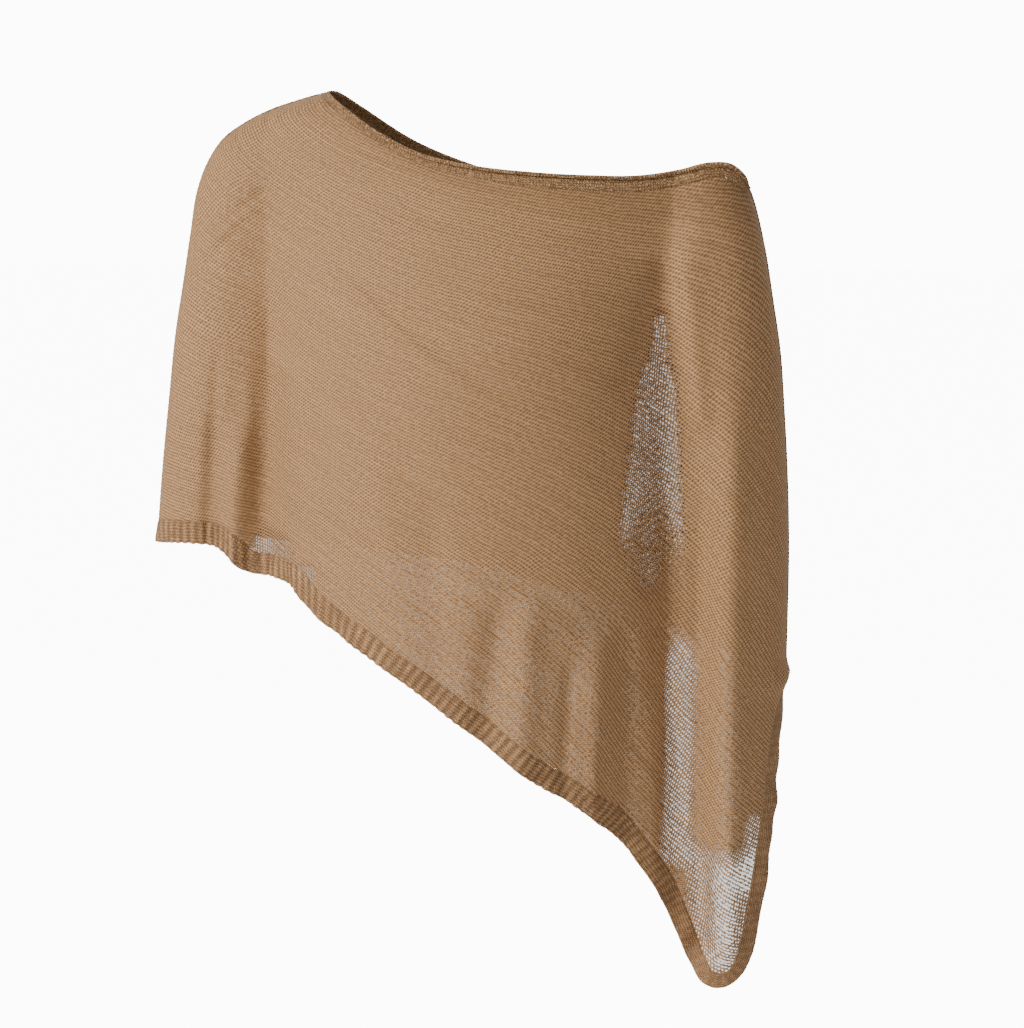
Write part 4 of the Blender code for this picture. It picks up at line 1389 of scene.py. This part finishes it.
@dataclass
class Garment:
    """The whole cover-up: panels, hems, neck borders and side seams."""

    drape: Drape = field(default_factory=Drape)
    front_knit: SheerKnit = SheerKnit(closeness=0.31)
    back_knit: SheerKnit = SheerKnit(closeness=0.30, stretch=0.85)
    right_seam: tuple[float, float] = (0.008, 0.998)   # shares of the side line
    left_seam_start: float = 0.006

    def build(self) -> None:
        """Build each face and join them with the linked seams."""
        seams = self.seams()
        for face, knit in ((Face.FRONT, self.front_knit), (Face.BACK, self.back_knit)):
            borders = Borders(self.drape, face)
            panel = Panel(borders, knit)
            sheet = panel.build()
            trims = [RibbedHem(borders).build(), NeckRoll(borders).build()]
            if face is Face.FRONT:
                trims += seams

    def seams(self) -> list[bpy.types.Object]:
        """Return the two linked side seams."""
        drape = self.drape
        end = drape.share_at(drape.left, SEAM_FOOT)
        right = along(drape.right, np.linspace(*self.right_seam, LINE_STEPS))
        left = along(drape.left, np.linspace(self.left_seam_start, end, LINE_STEPS))
        left[:, 0] += drape.swelling(left[:, 0], left[:, 1])
        chains = (("right_side_seam", right, -1), ("left_side_seam", left, 1))
        return [LinkedSeam(*chain).build() for chain in chains]


class Lamp(NamedTuple):
    """A soft square lamp: its place, width, power in watts and color."""

    name: str
    place: tuple[float, float, float]
    size: float
    power: float
    color: tuple[float, float, float]


LAMPS = (
    Lamp("key", (-2.0, -1.9, 1.1), 1.1, 142.0, (1.0, 0.975, 0.94)),
    Lamp("fill", (1.6, -2.2, 0.2), 2.0, 9.0, (0.97, 0.985, 1.0)),
    Lamp("rim", (0.6, 2.0, 1.2), 2.0, 20.0, (1.0, 1.0, 1.0)),
)


@dataclass
class Studio:
    """Pale floor, soft light and the camera at the photo's viewing angle."""

    target: tuple[float, float, float] = (0.17276, 0.00144, -0.31274)
    azimuth: float = 3.2
    elevation: float = 10.0
    distance: float = 2.0
    lens: float = 90.0
    sensor: float = 36.0
    reach: float = 100.0
    floor_height: float = -1.30
    floor_size: float = 30.0
    floor_color: tuple[float, float, float] = (0.93, 0.93, 0.925)
    floor_roughness: float = 0.9
    floor_through: float = 0.4    # the floor's own light behind the cloth's holes
    sky_color: tuple[float, float, float] = (1.0, 1.0, 0.995)
    sky_strength: float = 0.40
    sky_through: float = 1.0
    white: float = 12.0           # strength where nothing is in front

    def build(self) -> None:
        """Place the camera, the floor and the lights."""
        self.camera()
        self.floor()
        self.sky()
        for lamp in LAMPS:
            self.hang(lamp)

    def camera(self) -> None:
        """Set the scene's camera."""
        data = bpy.data.cameras.new("camera")
        data.lens = self.lens
        data.sensor_width = self.sensor
        data.clip_end = self.reach
        camera = bpy.data.objects.new("camera", data)
        azimuth, elevation = math.radians(self.azimuth), math.radians(self.elevation)
        back = Vector((
            math.sin(azimuth) * math.cos(elevation),
            -math.cos(azimuth) * math.cos(elevation),
            math.sin(elevation),
        ))
        camera.location = Vector(self.target) + back * self.distance
        camera.rotation_euler = (-back).to_track_quat("-Z", "Y").to_euler()
        bpy.context.scene.collection.objects.link(camera)
        bpy.context.scene.camera = camera

    def floor(self) -> None:
        """Lay a wide pale floor."""
        half = self.floor_size / 2
        mesh = bpy.data.meshes.new("floor")
        corners = [(-half, -half, 0), (half, -half, 0), (half, half, 0), (-half, half, 0)]
        mesh.from_pydata([(x, y, self.floor_height) for x, y, _ in corners], [], [(0, 1, 2, 3)])
        floor = bpy.data.objects.new("floor", mesh)
        sketch = Sketch.start("pale_floor")
        inputs = sketch.shader.inputs
        inputs["Base Color"].default_value = (*self.floor_color, 1.0)
        inputs["Roughness"].default_value = self.floor_roughness
        inputs["Emission Color"].default_value = (*self.floor_color, 1.0)
        sketch.join(self.seen(sketch, 0.0, self.floor_through), inputs["Emission Strength"])
        mesh.materials.append(sketch.material)
        bpy.context.scene.collection.objects.link(floor)

    def sky(self) -> None:
        """Light the scene softly from all round."""
        world = bpy.data.worlds.new("studio")
        world.use_nodes = True
        background = world.node_tree.nodes["Background"]
        background.inputs["Color"].default_value = (*self.sky_color, 1.0)
        sky = Sketch(world)
        strength = self.seen(sky, self.sky_strength, self.sky_through)
        sky.join(strength, background.inputs["Strength"])
        bpy.context.scene.world = world

    def seen(self, sketch: Sketch, lit: float, through: float) -> bpy.types.NodeSocket:
        """Return a strength that depends on how the backdrop is seen.

        Args:
            sketch: The nodes to add to.
            lit: The strength as a light.
            through: The strength behind the cloth's holes.

        Returns:
            The strength's socket.
        """
        path = sketch.node("ShaderNodeLightPath")
        depth = sketch.math("MINIMUM", path.outputs["Transparent Depth"], 1.0)
        clear = sketch.math("SUBTRACT", 1.0, depth)
        shown = sketch.scaled(clear, self.white - through, through - lit)
        return sketch.scaled(path.outputs["Is Camera Ray"], shown, lit)

    def hang(self, lamp: Lamp) -> None:
        """Hang a soft square lamp that faces the garment."""
        data = bpy.data.lights.new(lamp.name, "AREA")
        data.size = lamp.size
        data.energy = lamp.power
        data.color = lamp.color
        light = bpy.data.objects.new(lamp.name, data)
        light.location = lamp.place
        aim = Vector(self.target) - Vector(lamp.place)
        light.rotation_euler = aim.to_track_quat("-Z", "Y").to_euler()
        bpy.context.scene.collection.objects.link(light)


def main() -> None:
    """Build the studio and the garment."""
    logging.basicConfig(level=logging.INFO, format="%(name)s: %(message)s")
    Studio().build()
    Garment().build()


if __name__ == "__main__":
    main()
